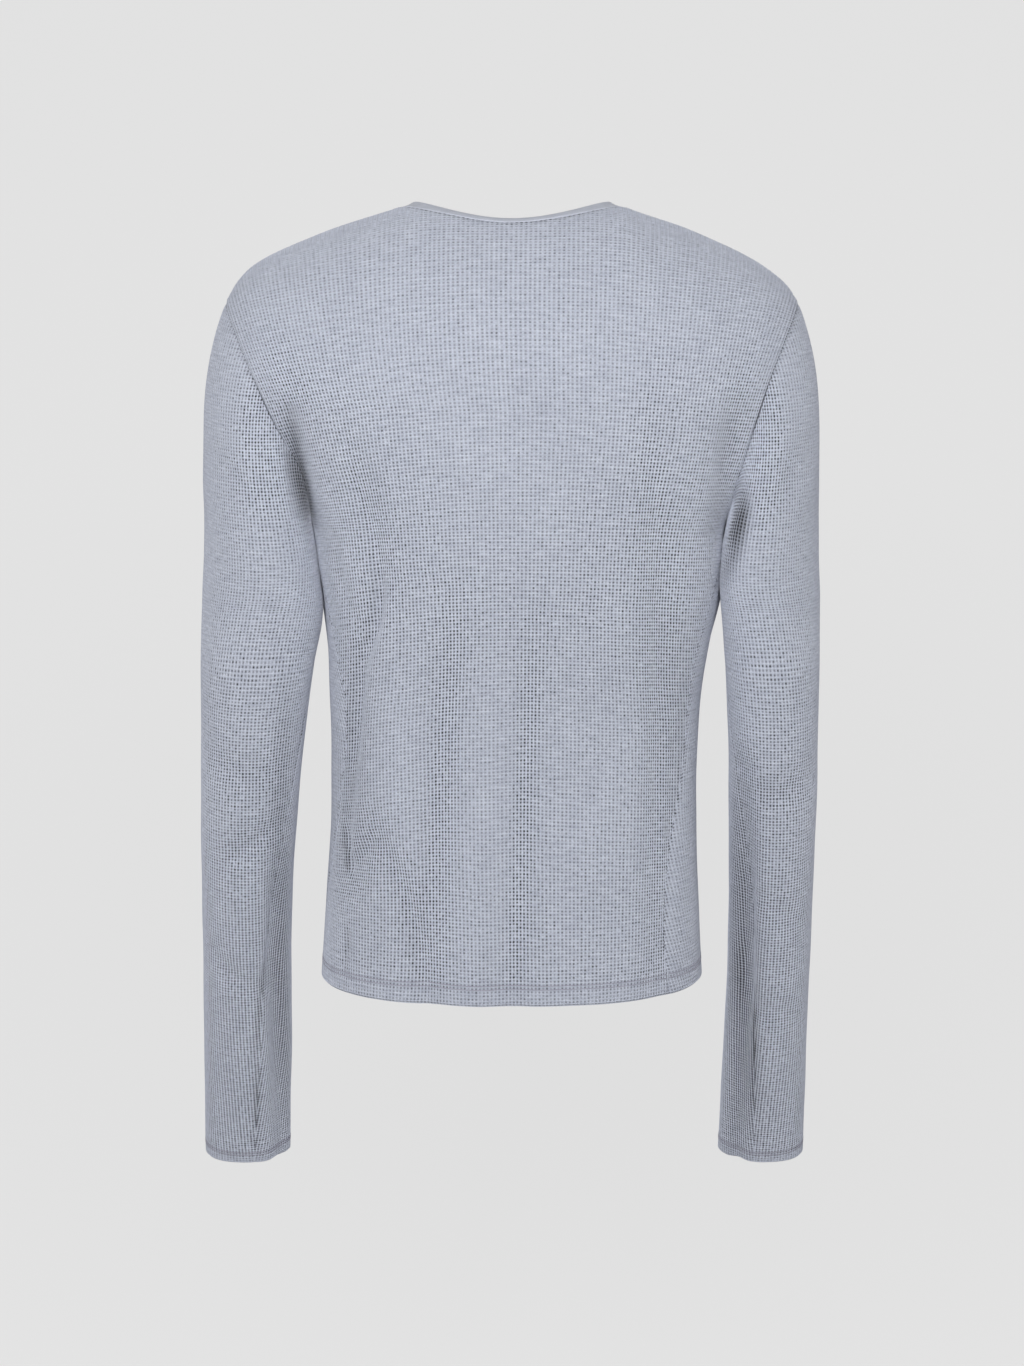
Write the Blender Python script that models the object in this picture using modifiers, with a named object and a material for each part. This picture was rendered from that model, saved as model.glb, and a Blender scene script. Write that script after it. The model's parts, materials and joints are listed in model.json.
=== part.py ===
"""A long-sleeved crew-neck thermal top in waffle knit, in the shape it has when worn.

Metres, +Z up. The origin is the middle of the neck opening, level with the
shoulder points beside the neck. The wearer faces -Y, so the back panel is on
the +Y side and the wearer's left is +X.

Each cut piece is one thin wall of cloth. Its outer surface is a grid whose
points are placed by the functions below, from short tables of body and sleeve
sections. A Solidify modifier, applied, gives it the thickness of the knit.
"""
import bmesh
import bpy
import numpy as np
from mathutils.kdtree import KDTree


def table(columns, *rows):
    """A short table of sizes with named columns; the first column is what the rows are read by."""
    names = columns.split()
    return {name: np.array([row[place] for row in rows], float) for place, name in enumerate(names)}


# Cloth
SINGLE_WALL = 0.0018        # one layer of waffle knit
DOUBLED_WALL = 0.0032       # hem and cuffs, turned up and stitched flat
BAND_WALL = 0.0028          # neckband, folded double
SEAM_GAP = 0.0003           # each piece stops this far short of the middle of a seam
HEM_DEPTH = 0.019
CUFF_DEPTH = 0.016
TURN_STEP = 0.0025          # over which the doubled wall thins to the single one

# Places up the body
HEM = -0.615
UNDERARM = -0.245
BLADE = -0.150              # across the shoulder blades; the yoke curves forward above this
CUFF = -0.790
UPPER_ARM = -0.275          # the sleeve widens into its cap above this

# Neck
NECK_HALF_WIDTH = 0.0870
NECK_BACK = 0.0525
NECK_FRONT = 0.096          # measured at a slant, down and forward
NECK_POINT_DROP = 0.0024
NECK_SLOPE = 0.24           # of the shoulders where they meet the neck
NECK_ROUNDNESS = 2.2
NECK_SHARE = 0.39           # of a panel's width that ends at the neckline
BAND_WIDTH = 0.0105
BAND_CURL_BACK = -0.7       # how far the band turns upward from the cloth below it
BAND_CURL_FRONT = 0.3
BAND_CURL_SIDE = 0.5

# The yoke, from the blades or the chest up to the shoulder seam
YOKE_PULL = 1.05            # fullness of its curve
FRONT_SLOPE = 55            # degrees, of the front at the neck
FRONT_SLOPE_REACH = 0.135   # how far out along the shoulders that slope dies away

CAP_ROUND = 0.37            # how much the sleeve's cap rounds inward as it meets the armhole

# Roundness of the sections: 2 is an ellipse, more is squarer
BODY_SQUARENESS = 2.4
SLEEVE_SQUARENESS = 2.15
BODY_FLATNESS = 0.70        # how deep the body is for its width
FOLD_TURN = 2.5             # how quickly a fold dies away where the cloth turns to the side

# How many steps each grid has
NECK_STEPS = 16             # of a panel's top edge, along the neckline
SHOULDER_STEPS = 14         # along each shoulder seam
BODY_STEPS = 16             # from the hem to the underarm
ARMHOLE_STEPS = 6           # from the underarm to the blades
YOKE_STEPS = 8              # from the blades to the shoulder seam
SLEEVE_STEPS = 16           # from the cuff to the upper arm
CAP_STEPS = 7               # from the upper arm to the armhole
BAND_STEPS = 3              # across the neckband
END_EASE = 1.9              # how much closer the rows lie toward a seam, where two walls must line up

# Sections of the body, from the hem up: half widths and depths from the vertical through
# the neck, and where the side seams run, as angles round the section from the middle of
# the back
BODY = table(
    "height left right back front seam_left seam_right",
    (-0.615, 0.1545, 0.1538, 0.111, 0.106, 96, 51),
    (-0.590, 0.1527, 0.1525, 0.108, 0.104, 94, 51),
    (-0.540, 0.1488, 0.1504, 0.101, 0.101, 83, 52),
    (-0.490, 0.1459, 0.1483, 0.094, 0.100, 76, 58),
    (-0.441, 0.1454, 0.1478, 0.089, 0.102, 69, 65),
    (-0.392, 0.1457, 0.1505, 0.089, 0.107, 65, 66),
    (-0.343, 0.1468, 0.1572, 0.094, 0.112, 69, 66),
    (-0.311, 0.1490, 0.1628, 0.099, 0.115, 76, 70),
    (-0.280, 0.1530, 0.1650, 0.104, 0.117, 84, 78),
    (-0.245, 0.1580, 0.1690, 0.1091, 0.118, 90, 88),
    (-0.240, 0.1597, 0.1712, 0.1098, 0.118, 90, 90),
    (-0.230, 0.1640, 0.1765, 0.1111, 0.118, 90, 90),
    (-0.214, 0.1706, 0.1847, 0.113, 0.118, 90, 90),
    (-0.182, 0.1894, 0.1980, 0.116, 0.117, 90, 90),
    (-0.150, 0.2095, 0.2125, 0.117, 0.113, 90, 90),
)

# Where the back and the front panel end at the armhole, as the same angles
ARMHOLE = table(
    "height back_left back_right front_left front_right",
    (-0.245, 90, 88, 90, 88),
    (-0.240, 84, 83, 95, 94),
    (-0.230, 77, 76, 101, 100),
    (-0.214, 71, 70, 106, 106),
    (-0.182, 66, 66, 111, 111),
    (-0.150, 63, 63, 115, 115),
)

# The shoulder seam, from the neck out to the point of the shoulder
SHOULDER = table(
    "reach drop_left drop_right",
    (0.0870, 0.0024, 0.0024),
    (0.1100, 0.0082, 0.0088),
    (0.1350, 0.0160, 0.0170),
    (0.1600, 0.0255, 0.0275),
    (0.1800, 0.0337, 0.0367),
    (0.1950, 0.0412, 0.0452),
    (0.2080, 0.0504, 0.0548),
    (0.2170, 0.0612, 0.0634),
    (0.2225, 0.0712, 0.0720),
    (0.2245, 0.0760, 0.0760),
)

# Sections of the sleeves, from the cuff up: how far the outer and the inner side are
# from the middle of the body, where the middle of the sleeve is (+ is backward), half
# its depth from front to back, and how far its inner side is turned forward, in degrees
SLEEVES = {
    "left": table(
        "height outer inner middle depth turn",
        (-0.790, 0.2583, 0.1868, -0.0735, 0.0290, 0),
        (-0.745, 0.2576, 0.1854, -0.0640, 0.0325, 0),
        (-0.671, 0.2558, 0.1827, -0.0490, 0.0380, 0),
        (-0.599, 0.2540, 0.1813, -0.0340, 0.0415, 0),
        (-0.528, 0.2524, 0.1775, -0.0200, 0.0440, 0),
        (-0.459, 0.2509, 0.1710, -0.0090, 0.0470, 2),
        (-0.392, 0.2490, 0.1625, -0.0020, 0.0520, 6),
        (-0.359, 0.2483, 0.1573, 0.0000, 0.0555, 11),
        (-0.327, 0.2477, 0.1513, -0.0020, 0.0590, 16),
        (-0.311, 0.2472, 0.1505, -0.0030, 0.0605, 18),
        (-0.294, 0.2470, 0.1526, -0.0030, 0.0620, 20),
        (-0.262, 0.2462, 0.1568, -0.0020, 0.0640, 20),
    ),
    "right": table(
        "height outer inner middle depth turn",
        (-0.790, 0.2450, 0.1738, -0.0735, 0.0290, 0),
        (-0.745, 0.2450, 0.1745, -0.0640, 0.0325, 0),
        (-0.671, 0.2450, 0.1769, -0.0490, 0.0380, 0),
        (-0.599, 0.2450, 0.1776, -0.0340, 0.0415, 0),
        (-0.528, 0.2458, 0.1767, -0.0200, 0.0440, 0),
        (-0.459, 0.2461, 0.1751, -0.0090, 0.0470, 2),
        (-0.392, 0.2458, 0.1722, -0.0020, 0.0520, 6),
        (-0.359, 0.2464, 0.1701, 0.0000, 0.0555, 11),
        (-0.327, 0.2464, 0.1674, -0.0020, 0.0590, 16),
        (-0.311, 0.2464, 0.1657, -0.0030, 0.0605, 18),
        (-0.294, 0.2463, 0.1651, -0.0030, 0.0620, 20),
        (-0.262, 0.2462, 0.1677, -0.0020, 0.0640, 20),
    ),
}
SIDES = {"left": 1, "right": -1}

# The largest folds: a trough sinks below the surface by its depth and a ridge, with a
# negative depth, stands above it. Each runs through three places, given across the
# body (+ is the wearer's left) and in height, and fades out at both ends.
FOLD_COLUMNS = "across_1 height_1 across_2 height_2 across_3 height_3 width depth"
FOLDS = {
    "back": table(
        FOLD_COLUMNS,
        (0.126, -0.180, 0.103, -0.268, 0.113, -0.335, 0.012, 0.0048),    # pulled in from the left blade
        (0.111, -0.305, 0.127, -0.390, 0.138, -0.520, 0.012, 0.0052),    # down beside the left seam
        (0.110, -0.476, 0.086, -0.538, 0.067, -0.625, 0.012, 0.0045),    # from the left waist to the hem
        (0.109, -0.480, 0.122, -0.514, 0.136, -0.545, 0.011, 0.0040),    # the other way, to the left seam
        (0.044, -0.290, 0.057, -0.454, 0.066, -0.660, 0.015, 0.0055),
        (0.018, -0.370, 0.022, -0.500, 0.026, -0.640, 0.013, -0.0030),
        (-0.018, -0.310, -0.010, -0.469, 0.003, -0.660, 0.014, 0.0050),
        (-0.106, -0.150, -0.119, -0.395, -0.112, -0.660, 0.013, 0.0060),  # down the right of the back
        (0.172, -0.110, 0.166, -0.168, 0.160, -0.226, 0.011, 0.0025),    # beside the left armhole
        (-0.176, -0.130, -0.168, -0.190, -0.160, -0.250, 0.011, 0.0035),  # beside the right armhole
    ),
    "front": table(
        FOLD_COLUMNS,
        (0.165, -0.125, 0.156, -0.175, 0.140, -0.235, 0.011, 0.0050),
        (-0.166, -0.125, -0.158, -0.180, -0.138, -0.240, 0.011, 0.0050),
        (0.158, -0.220, 0.151, -0.292, 0.146, -0.362, 0.010, -0.0085),   # pressed out under the left arm
        (-0.170, -0.214, -0.165, -0.288, -0.158, -0.360, 0.010, -0.0105),
        (0.118, -0.250, 0.098, -0.330, 0.104, -0.420, 0.013, 0.0045),
        (-0.112, -0.260, -0.096, -0.350, -0.106, -0.450, 0.012, 0.0045),
        (0.092, -0.440, 0.074, -0.530, 0.080, -0.640, 0.014, 0.0045),
        (-0.070, -0.420, -0.058, -0.520, -0.066, -0.640, 0.015, 0.0045),
        (0.012, -0.400, 0.020, -0.510, 0.010, -0.640, 0.016, 0.0035),
        (-0.026, -0.440, -0.020, -0.530, -0.028, -0.640, 0.012, -0.0025),
    ),
    "left": table(
        FOLD_COLUMNS,
        (0.240, -0.180, 0.222, -0.205, 0.196, -0.235, 0.012, 0.0016),
        (0.232, -0.520, 0.212, -0.505, 0.186, -0.490, 0.011, 0.0040),
        (0.248, -0.590, 0.226, -0.620, 0.196, -0.632, 0.010, 0.0020),
        (0.188, -0.520, 0.190, -0.660, 0.192, -0.900, 0.009, 0.0060),    # behind the left forearm's seam
        (0.242, -0.420, 0.216, -0.445, 0.184, -0.440, 0.013, 0.0030),
    ),
    "right": table(
        FOLD_COLUMNS,
        (-0.240, -0.170, -0.222, -0.200, -0.198, -0.240, 0.012, 0.0030),
        (-0.181, -0.440, -0.185, -0.620, -0.182, -0.900, 0.010, 0.0075),  # behind the right forearm's seam
        (-0.238, -0.440, -0.216, -0.462, -0.188, -0.450, 0.013, 0.0030),
        (-0.236, -0.585, -0.214, -0.560, -0.190, -0.545, 0.011, 0.0032),
        (-0.232, -0.660, -0.212, -0.650, -0.190, -0.665, 0.010, 0.0026),
    ),
}

CLOTH_COLOUR = (0.44, 0.46, 0.53, 1.0)
BAND_COLOUR = (0.45, 0.47, 0.55, 1.0)
CLOTH_ROUGHNESS = 0.92


# --- Curves ---------------------------------------------------------------------------

def curve_between(start, end, start_pull, end_pull, share):
    """The cubic curve that leaves start along start_pull and arrives at end along end_pull."""
    square, cube = share ** 2, share ** 3
    return (
        (2 * cube - 3 * square + 1) * start
        + (3 * square - 2 * cube) * end
        + (cube - 2 * square + share) * start_pull
        + (cube - square) * end_pull
    )


def read(sizes, column, at):
    """A column of a table at any place, on a smooth curve through its rows."""
    places = next(iter(sizes.values()))
    values = sizes[column]
    slopes = np.gradient(values, places)
    at = np.clip(at, places[0], places[-1])
    row = np.clip(np.searchsorted(places, at) - 1, 0, len(places) - 2)
    span = places[row + 1] - places[row]
    share = (at - places[row]) / span
    return curve_between(values[row], values[row + 1], slopes[row] * span, slopes[row + 1] * span, share)


def shares_of(line):
    """How far along a line each of its points is, from 0 to 1."""
    length = np.concatenate([[0.0], np.cumsum(np.linalg.norm(np.diff(line, axis=0), axis=1))])
    return length / length[-1]


def spaced(line, shares):
    """Points at the given shares of a line's length, along an axis of an array of points."""
    places = shares_of(line)
    return np.stack([np.interp(shares, places, line[:, axis]) for axis in range(3)], axis=1)


def eased(share):
    """A share held between 0 and 1 that starts and ends gently."""
    share = np.clip(share, 0, 1)
    return share ** 2 * (3 - 2 * share)


def outward_shares():
    """Shares from 0 at a neck point to 1 at a panel's edge, close together at the neck point."""
    turn = 1 - np.cos(np.linspace(0, 0.9 * np.pi, SHOULDER_STEPS + 1))
    return turn / turn[-1]


def neck_shares():
    """Shares from -1 to 1 across the neck, close together at the neck points."""
    turn = np.sin(np.radians(np.linspace(-88, 88, NECK_STEPS + 1)))
    return turn / turn[-1]


def toward_end(steps):
    """Shares from 0 to 1 that lie closer together toward the end."""
    return 1 - (1 - np.linspace(0, 1, steps + 1)) ** END_EASE


def rounded(value, squareness):
    """A sine or cosine, bent so that a circle of it becomes a superellipse."""
    return np.sign(value) * np.abs(value) ** (2 / squareness)


def unit(vectors):
    return vectors / np.linalg.norm(vectors, axis=-1, keepdims=True)


# --- The body -------------------------------------------------------------------------

def body_section(height, angles):
    """Points round the body at one height; the angle is from the middle of the back."""
    turn = np.radians(angles)
    across, fore = np.sin(turn), np.cos(turn)
    wide = np.where(across > 0, read(BODY, "left", height), read(BODY, "right", height))
    deep = np.where(fore > 0, read(BODY, "back", height), read(BODY, "front", height))
    return np.stack([
        wide * rounded(across, BODY_SQUARENESS),
        deep * rounded(fore, BODY_SQUARENESS),
        np.full_like(wide, height),
    ], axis=1)


def panel_row(panel, height, shares):
    """A panel's points at one height, from its right edge to its left."""
    sizes, kind = (BODY, "seam") if height <= UNDERARM else (ARMHOLE, panel)
    left, right = read(sizes, kind + "_left", height), read(sizes, kind + "_right", height)
    if panel == "back":
        angles = np.linspace(-right, left, 181)
    else:
        angles = np.linspace(360 - right, left, 181)
    return spaced(body_section(height, angles), shares)


def shoulder_line(side):
    """The shoulder seam of one side, from the neck out."""
    reach = np.linspace(SHOULDER["reach"][0], SHOULDER["reach"][-1], 121)
    drop = read(SHOULDER, "drop_" + side, reach)
    return np.stack([SIDES[side] * reach, np.zeros_like(reach), -drop], axis=1)


def panel_shares():
    """Where a panel's columns are across it: closer together toward its edges and the neck points."""
    neck = NECK_SHARE * neck_shares()
    outward = NECK_SHARE + (1 - NECK_SHARE) * outward_shares()[1:]
    across = np.concatenate([-outward[::-1], neck, outward])
    return (across + 1) / 2


def ridge(panel):
    """Where a panel's columns of knit end above the shoulders, and the way they arrive there.

    Across the neck this line is only imagined: the neckline is cut out below it.
    """
    shoulder_shares = outward_shares()[1:]
    right = spaced(shoulder_line("right"), shoulder_shares)[::-1]
    left = spaced(shoulder_line("left"), shoulder_shares)
    across = NECK_HALF_WIDTH * neck_shares()
    inside = NECK_HALF_WIDTH - np.abs(across)
    over_neck = NECK_SLOPE * inside * (1 - inside / (2 * NECK_HALF_WIDTH)) - NECK_POINT_DROP
    neck = np.stack([across, 0 * across, over_neck], axis=1)
    ends = np.concatenate([right, neck, left])
    out = np.abs(ends[:, 0])
    slope = np.radians(FRONT_SLOPE) * eased(1 - out / FRONT_SLOPE_REACH)
    if panel == "back":
        over_back = slope[SHOULDER_STEPS] * eased(out / NECK_HALF_WIDTH)
        slope = np.where(out < NECK_HALF_WIDTH, over_back, slope)
    way = 1 if panel == "front" else -1
    return ends, way * np.stack([0 * slope, np.cos(slope), np.sin(slope)], axis=1)


def neck_end(line, panel):
    """Where along a column of points it crosses the neckline, in steps, or where it ends if it doesn't.

    The back of the neckline is round seen from above, and the front seen at a slant.
    """
    if panel == "back":
        ahead = np.abs(line[:, 1]) / NECK_BACK
    else:
        ahead = np.abs(line[:, 1] + line[:, 2]) / (np.sqrt(2) * NECK_FRONT)
    inside = (np.abs(line[:, 0]) / NECK_HALF_WIDTH) ** NECK_ROUNDNESS + ahead ** NECK_ROUNDNESS - 1
    crossed = np.flatnonzero(inside < -1e-9)
    if len(crossed) == 0:
        return len(line) - 1.0
    after = crossed[0]
    return after - 1 + inside[after - 1] / (inside[after - 1] - inside[after])


def part_of(line, end):
    """A line up to a place given in steps along it."""
    whole = int(np.ceil(end)) - 1
    return np.concatenate([line[:whole + 1], [line[whole] + (end - whole) * (line[whole + 1] - line[whole])]])


def body_heights():
    """The heights of a panel's rows up to the blades, closer together under the arm."""
    lower = np.linspace(HEM + HEM_DEPTH + TURN_STEP, UNDERARM, BODY_STEPS - 1)
    rise = np.linspace(0, 1, ARMHOLE_STEPS + 1)[1:] ** 1.6
    return np.concatenate([[HEM, HEM + HEM_DEPTH], lower, UNDERARM + (BLADE - UNDERARM) * rise])


def yoke(panel):
    """The columns of a panel above the blades, in small steps, over the neck as well."""
    start = panel_row(panel, BLADE, panel_shares())
    ends, arrive = ridge(panel)
    small = 0.004
    leave = unit(start - panel_row(panel, BLADE - small, panel_shares()))
    chord = np.linalg.norm(ends - start, axis=1, keepdims=True)
    share = np.linspace(0, 1, 81)[:, None, None]
    return curve_between(start, ends, leave * chord * YOKE_PULL, arrive * chord * YOKE_PULL, share)


def panel_points(panel):
    """The outer surface of the back or the front: an array of rows, from the hem up."""
    rows = [panel_row(panel, height, panel_shares()) for height in body_heights()]
    above = yoke(panel)
    up = toward_end(YOKE_STEPS)[1:]
    columns = [spaced(part_of(line, neck_end(line, panel)), up) for line in above.swapaxes(0, 1)]
    return folded_body(np.concatenate([np.array(rows), np.stack(columns, axis=1)]))


def armhole(side):
    """The armhole seam: up the back edge from the underarm, over the shoulder, down the front."""
    edge = -1 if side == "left" else 0
    back = panel_points("back")[BODY_STEPS:, edge]
    front = panel_points("front")[BODY_STEPS:, edge]
    return np.concatenate([back, front[-2::-1]])


# --- The sleeves ----------------------------------------------------------------------

def sleeve_section(side, height, shares):
    """Points round a sleeve at one height: inner side, back, outer side, front, inner side."""
    outer, inner, middle, depth, turn = (
        read(SLEEVES[side], column, height) for column in ("outer", "inner", "middle", "depth", "turn"))
    small = 0.004
    rise = read(SLEEVES[side], "middle", height + small) - read(SLEEVES[side], "middle", height - small)
    lean = np.arctan(rise / (2 * small))
    swing = np.radians(turn)
    reach = (outer - inner) / 2
    width = np.sqrt(reach ** 2 - (depth * np.sin(swing)) ** 2) / np.cos(swing)
    around = np.linspace(0, 2 * np.pi, 241)
    inward = width * rounded(np.cos(around), SLEEVE_SQUARENESS)
    backward = depth * rounded(np.sin(around), SLEEVE_SQUARENESS)
    out = inward * np.cos(swing) + backward * np.sin(swing)
    fore = backward * np.cos(swing) - inward * np.sin(swing)
    line = np.stack([
        SIDES[side] * ((outer + inner) / 2 - out),
        middle + fore * np.cos(lean),
        height - fore * np.sin(lean),
    ], axis=1)
    return spaced(line, shares)


def sleeve_heights():
    lower = np.linspace(CUFF + CUFF_DEPTH + TURN_STEP, UPPER_ARM, SLEEVE_STEPS - 1)
    return np.concatenate([[CUFF, CUFF + CUFF_DEPTH], lower])


def sleeve_points(side):
    """The outer surface of a sleeve: an array of rows, from the cuff up to the armhole."""
    loop = armhole(side)
    shares = shares_of(loop)
    rows = [sleeve_section(side, height, shares) for height in sleeve_heights()]
    small = 0.004
    leave = unit(rows[-1] - sleeve_section(side, UPPER_ARM - small, shares))
    chord = np.linalg.norm(loop - rows[-1], axis=1, keepdims=True)
    overhead = (1 - np.cos(2 * np.pi * shares)) / 2
    inward = np.stack([-SIDES[side] * CAP_ROUND * overhead, 0 * overhead, 0 * overhead], axis=1)
    arrive = unit(unit(loop - rows[-1]) + inward)
    share = np.linspace(0, 1, 41)[:, None, None]
    cap = curve_between(rows[-1], loop, leave * chord, arrive * chord, share)
    up = toward_end(CAP_STEPS)[1:]
    columns = [spaced(cap[:, column], up) for column in range(len(loop))]
    return np.concatenate([np.array(rows), np.stack(columns, axis=1)])


# --- The neckband ---------------------------------------------------------------------

def neck_seam(panel):
    """The neckline of a panel from right to left, and the way the cloth faces there."""
    neck = np.s_[SHOULDER_STEPS:SHOULDER_STEPS + NECK_STEPS + 1]
    above = yoke(panel)
    way = 1 if panel == "back" else -1
    facing = way * unit(np.cross(np.gradient(above, axis=0), np.gradient(above, axis=1)))[:, neck]
    steps = range(len(above))
    at_seam = []
    for column, line in enumerate(above[:, neck].swapaxes(0, 1)):
        end = neck_end(line, panel)
        at_seam.append([np.interp(end, steps, facing[:, column, axis]) for axis in range(3)])
    return panel_points(panel)[-1, neck], np.array(at_seam)


def neckband_points():
    """The band round the neck, from its seam to its free edge."""
    back, back_facing = neck_seam("back")
    front, front_facing = neck_seam("front")
    back_facing[[0, -1]] = front_facing[[0, -1]] = back_facing[[0, -1]] + front_facing[[0, -1]]
    seam = np.concatenate([back, front[-2::-1]])
    normals = unit(np.concatenate([back_facing, front_facing[-2::-1]]))
    ring = np.concatenate([seam[-2:-1], seam, seam[1:2]])
    rise = unit(np.cross(normals, ring[2:] - ring[:-2]))
    rise *= np.sign(np.sum(rise * (-seam + (0, 0, 0.1)), axis=1, keepdims=True))
    beside = np.clip(np.abs(seam[:, 0:1]) / NECK_HALF_WIDTH, 0, 1) ** 3
    curl = np.where(seam[:, 1:2] > 0, BAND_CURL_BACK, BAND_CURL_FRONT) * (1 - beside) + BAND_CURL_SIDE * beside
    tip = unit(rise + curl * np.array([0, 0, 1]))
    edge = seam + BAND_WIDTH * unit(rise + tip)
    steps = np.linspace(0, 1, BAND_STEPS + 1)[:, None, None]
    return curve_between(seam, edge, rise * BAND_WIDTH, tip * BAND_WIDTH, steps)


# --- Folds ----------------------------------------------------------------------------

def fold_depth(points, folds):
    """How far each point of a grid sinks into the troughs, or rises on the ridges, of a table of folds."""
    depth = np.zeros(points.shape[:2])
    share = np.linspace(0, 1, 101)
    flat = points[:, :, (0, 2)]
    for row in range(len(folds["width"])):
        ends = [np.array([folds["across_%d" % n][row], folds["height_%d" % n][row]]) for n in (1, 2, 3)]
        bend = 2 * ends[1] - (ends[0] + ends[2]) / 2
        path = [(1 - s) ** 2 * ends[0] + 2 * s * (1 - s) * bend + s ** 2 * ends[2] for s in share]
        away = np.stack([np.linalg.norm(flat - place, axis=2) for place in path])
        nearest = share[np.argmin(away, axis=0)]
        fade = np.sin(np.pi * np.clip(nearest, 0.04, 0.96)) ** 0.6
        depth += folds["depth"][row] * fade * np.exp(-(away.min(axis=0) / folds["width"][row]) ** 2)
    return depth


def folded_body(points):
    """Fold a panel. It depends on place alone, so the two panels still meet at their seams."""
    outward = unit(points * (BODY_FLATNESS ** 2, 1, 0))
    facing_back = np.clip(outward[:, :, 1] * FOLD_TURN, 0, 1)
    facing_front = np.clip(-outward[:, :, 1] * FOLD_TURN, 0, 1)
    depth = facing_back * fold_depth(points, FOLDS["back"]) + facing_front * fold_depth(points, FOLDS["front"])
    return points - outward * depth[:, :, None]


def folded_sleeve(points, side):
    """Fold a sleeve, all but its top row, which stays on the armhole."""
    normals = -SIDES[side] * normals_of(points)
    depth = fold_depth(points, FOLDS[side]) * np.clip(normals[:, :, 1] * FOLD_TURN, 0, 1)
    depth[-1] = 0
    return points - normals * depth[:, :, None]


# --- From points to cloth --------------------------------------------------------------

def is_tube(points):
    return np.allclose(points[:, 0], points[:, -1])


def normals_of(points):
    """Unit normals of a grid; they face out where the columns run over the back from left to right."""
    if is_tube(points):
        ring = np.concatenate([points[:, -2:-1], points, points[:, 1:2]], axis=1)
        across = ring[:, 2:] - ring[:, :-2]
    else:
        across = np.gradient(points, axis=1)
    return unit(np.cross(across, np.gradient(points, axis=0)))


def common_normals(pieces):
    """The normals of every piece. Where pieces meet they lean to one another's, the more
    the flatter the seam is, and not at all across the sharp turn under the arm."""
    own = {name: normals_of(points) for name, points in pieces.items()}
    met = {}
    for name, points in pieces.items():
        for place, normal in zip(points.reshape(-1, 3), own[name].reshape(-1, 3)):
            met.setdefault(tuple(np.round(place, 5)), []).append(normal)
    common = {}
    for name, points in pieces.items():
        leaning = []
        for place, normal in zip(points.reshape(-1, 3), own[name].reshape(-1, 3)):
            others = np.array(met[tuple(np.round(place, 5))])
            leaning.append(np.clip((others @ normal - 0.2) / 0.6, 0, 1) @ others)
        common[name] = unit(np.array(leaning)).reshape(points.shape)
    return common


def pulled_back(points, edges):
    """Stop a piece short of its seams, so that it doesn't touch its neighbours."""
    beside = {"first": (np.s_[:, 0], np.s_[:, 1]), "last": (np.s_[:, -1], np.s_[:, -2]),
              "top": (np.s_[-1], np.s_[-2]), "bottom": (np.s_[0], np.s_[1])}
    moved = points.copy()
    for edge in edges:
        seam, inner = (points[place] for place in beside[edge])
        if is_tube(points):
            ring = np.concatenate([seam[-2:-1], seam, seam[1:2]])
            run = unit(ring[2:] - ring[:-2])
        else:
            run = unit(np.gradient(seam, axis=0))
        inward = inner - seam
        inward = unit(inward - run * np.sum(inward * run, axis=1, keepdims=True))
        moved[beside[edge][0]] += SEAM_GAP * inward
    return moved


def material(name, colour):
    finish = bpy.data.materials.new(name)
    finish.use_nodes = True
    shader = finish.node_tree.nodes["Principled BSDF"]
    shader.inputs["Base Color"].default_value = colour
    shader.inputs["Roughness"].default_value = CLOTH_ROUGHNESS
    shader.inputs["Metallic"].default_value = 0.0
    return finish


def cloth(name, points, normals, walls, colour):
    """A grid laid on the points, welded where it closes on itself, and thickened inward.

    The inner surface is set along the normals that neighbouring pieces share, so that the
    walls stay side by side at a seam.
    """
    rows, columns = points.shape[:2]
    bpy.ops.mesh.primitive_grid_add(x_subdivisions=columns - 1, y_subdivisions=rows - 1, size=1)
    piece = bpy.context.active_object
    piece.name = name
    piece.data.name = name
    piece.data.vertices.foreach_set("co", points.reshape(-1))
    if is_tube(points):
        shape = bmesh.new()
        shape.from_mesh(piece.data)
        bmesh.ops.remove_doubles(shape, verts=shape.verts, dist=0.00001)
        shape.to_mesh(piece.data)
        shape.free()
    inner = (points - normals * np.reshape(walls, (rows, 1, 1))).reshape(-1, 3)
    grid = KDTree(rows * columns)
    for number, place in enumerate(points.reshape(-1, 3)):
        grid.insert(place, number)
    grid.balance()
    thicken = piece.modifiers.new("Knit thickness", "SOLIDIFY")
    thicken.offset = -1
    thicken.thickness = SINGLE_WALL
    bpy.ops.object.modifier_apply(modifier=thicken.name)
    outer_count = len(piece.data.vertices) // 2
    for number in range(outer_count):
        _, nearest, _ = grid.find(piece.data.vertices[number].co)
        piece.data.vertices[outer_count + number].co = inner[nearest]
    piece.data.shade_smooth()
    piece.data.materials.append(material(name + "_finish", colour))
    for collection in list(piece.users_collection):
        collection.objects.unlink(piece)
    bpy.data.collections["thermal_top"].objects.link(piece)


def walls(rows):
    """The wall of each row of a piece whose first two rows are a doubled hem."""
    return [DOUBLED_WALL] * 2 + [SINGLE_WALL] * (rows - 2)


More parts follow.
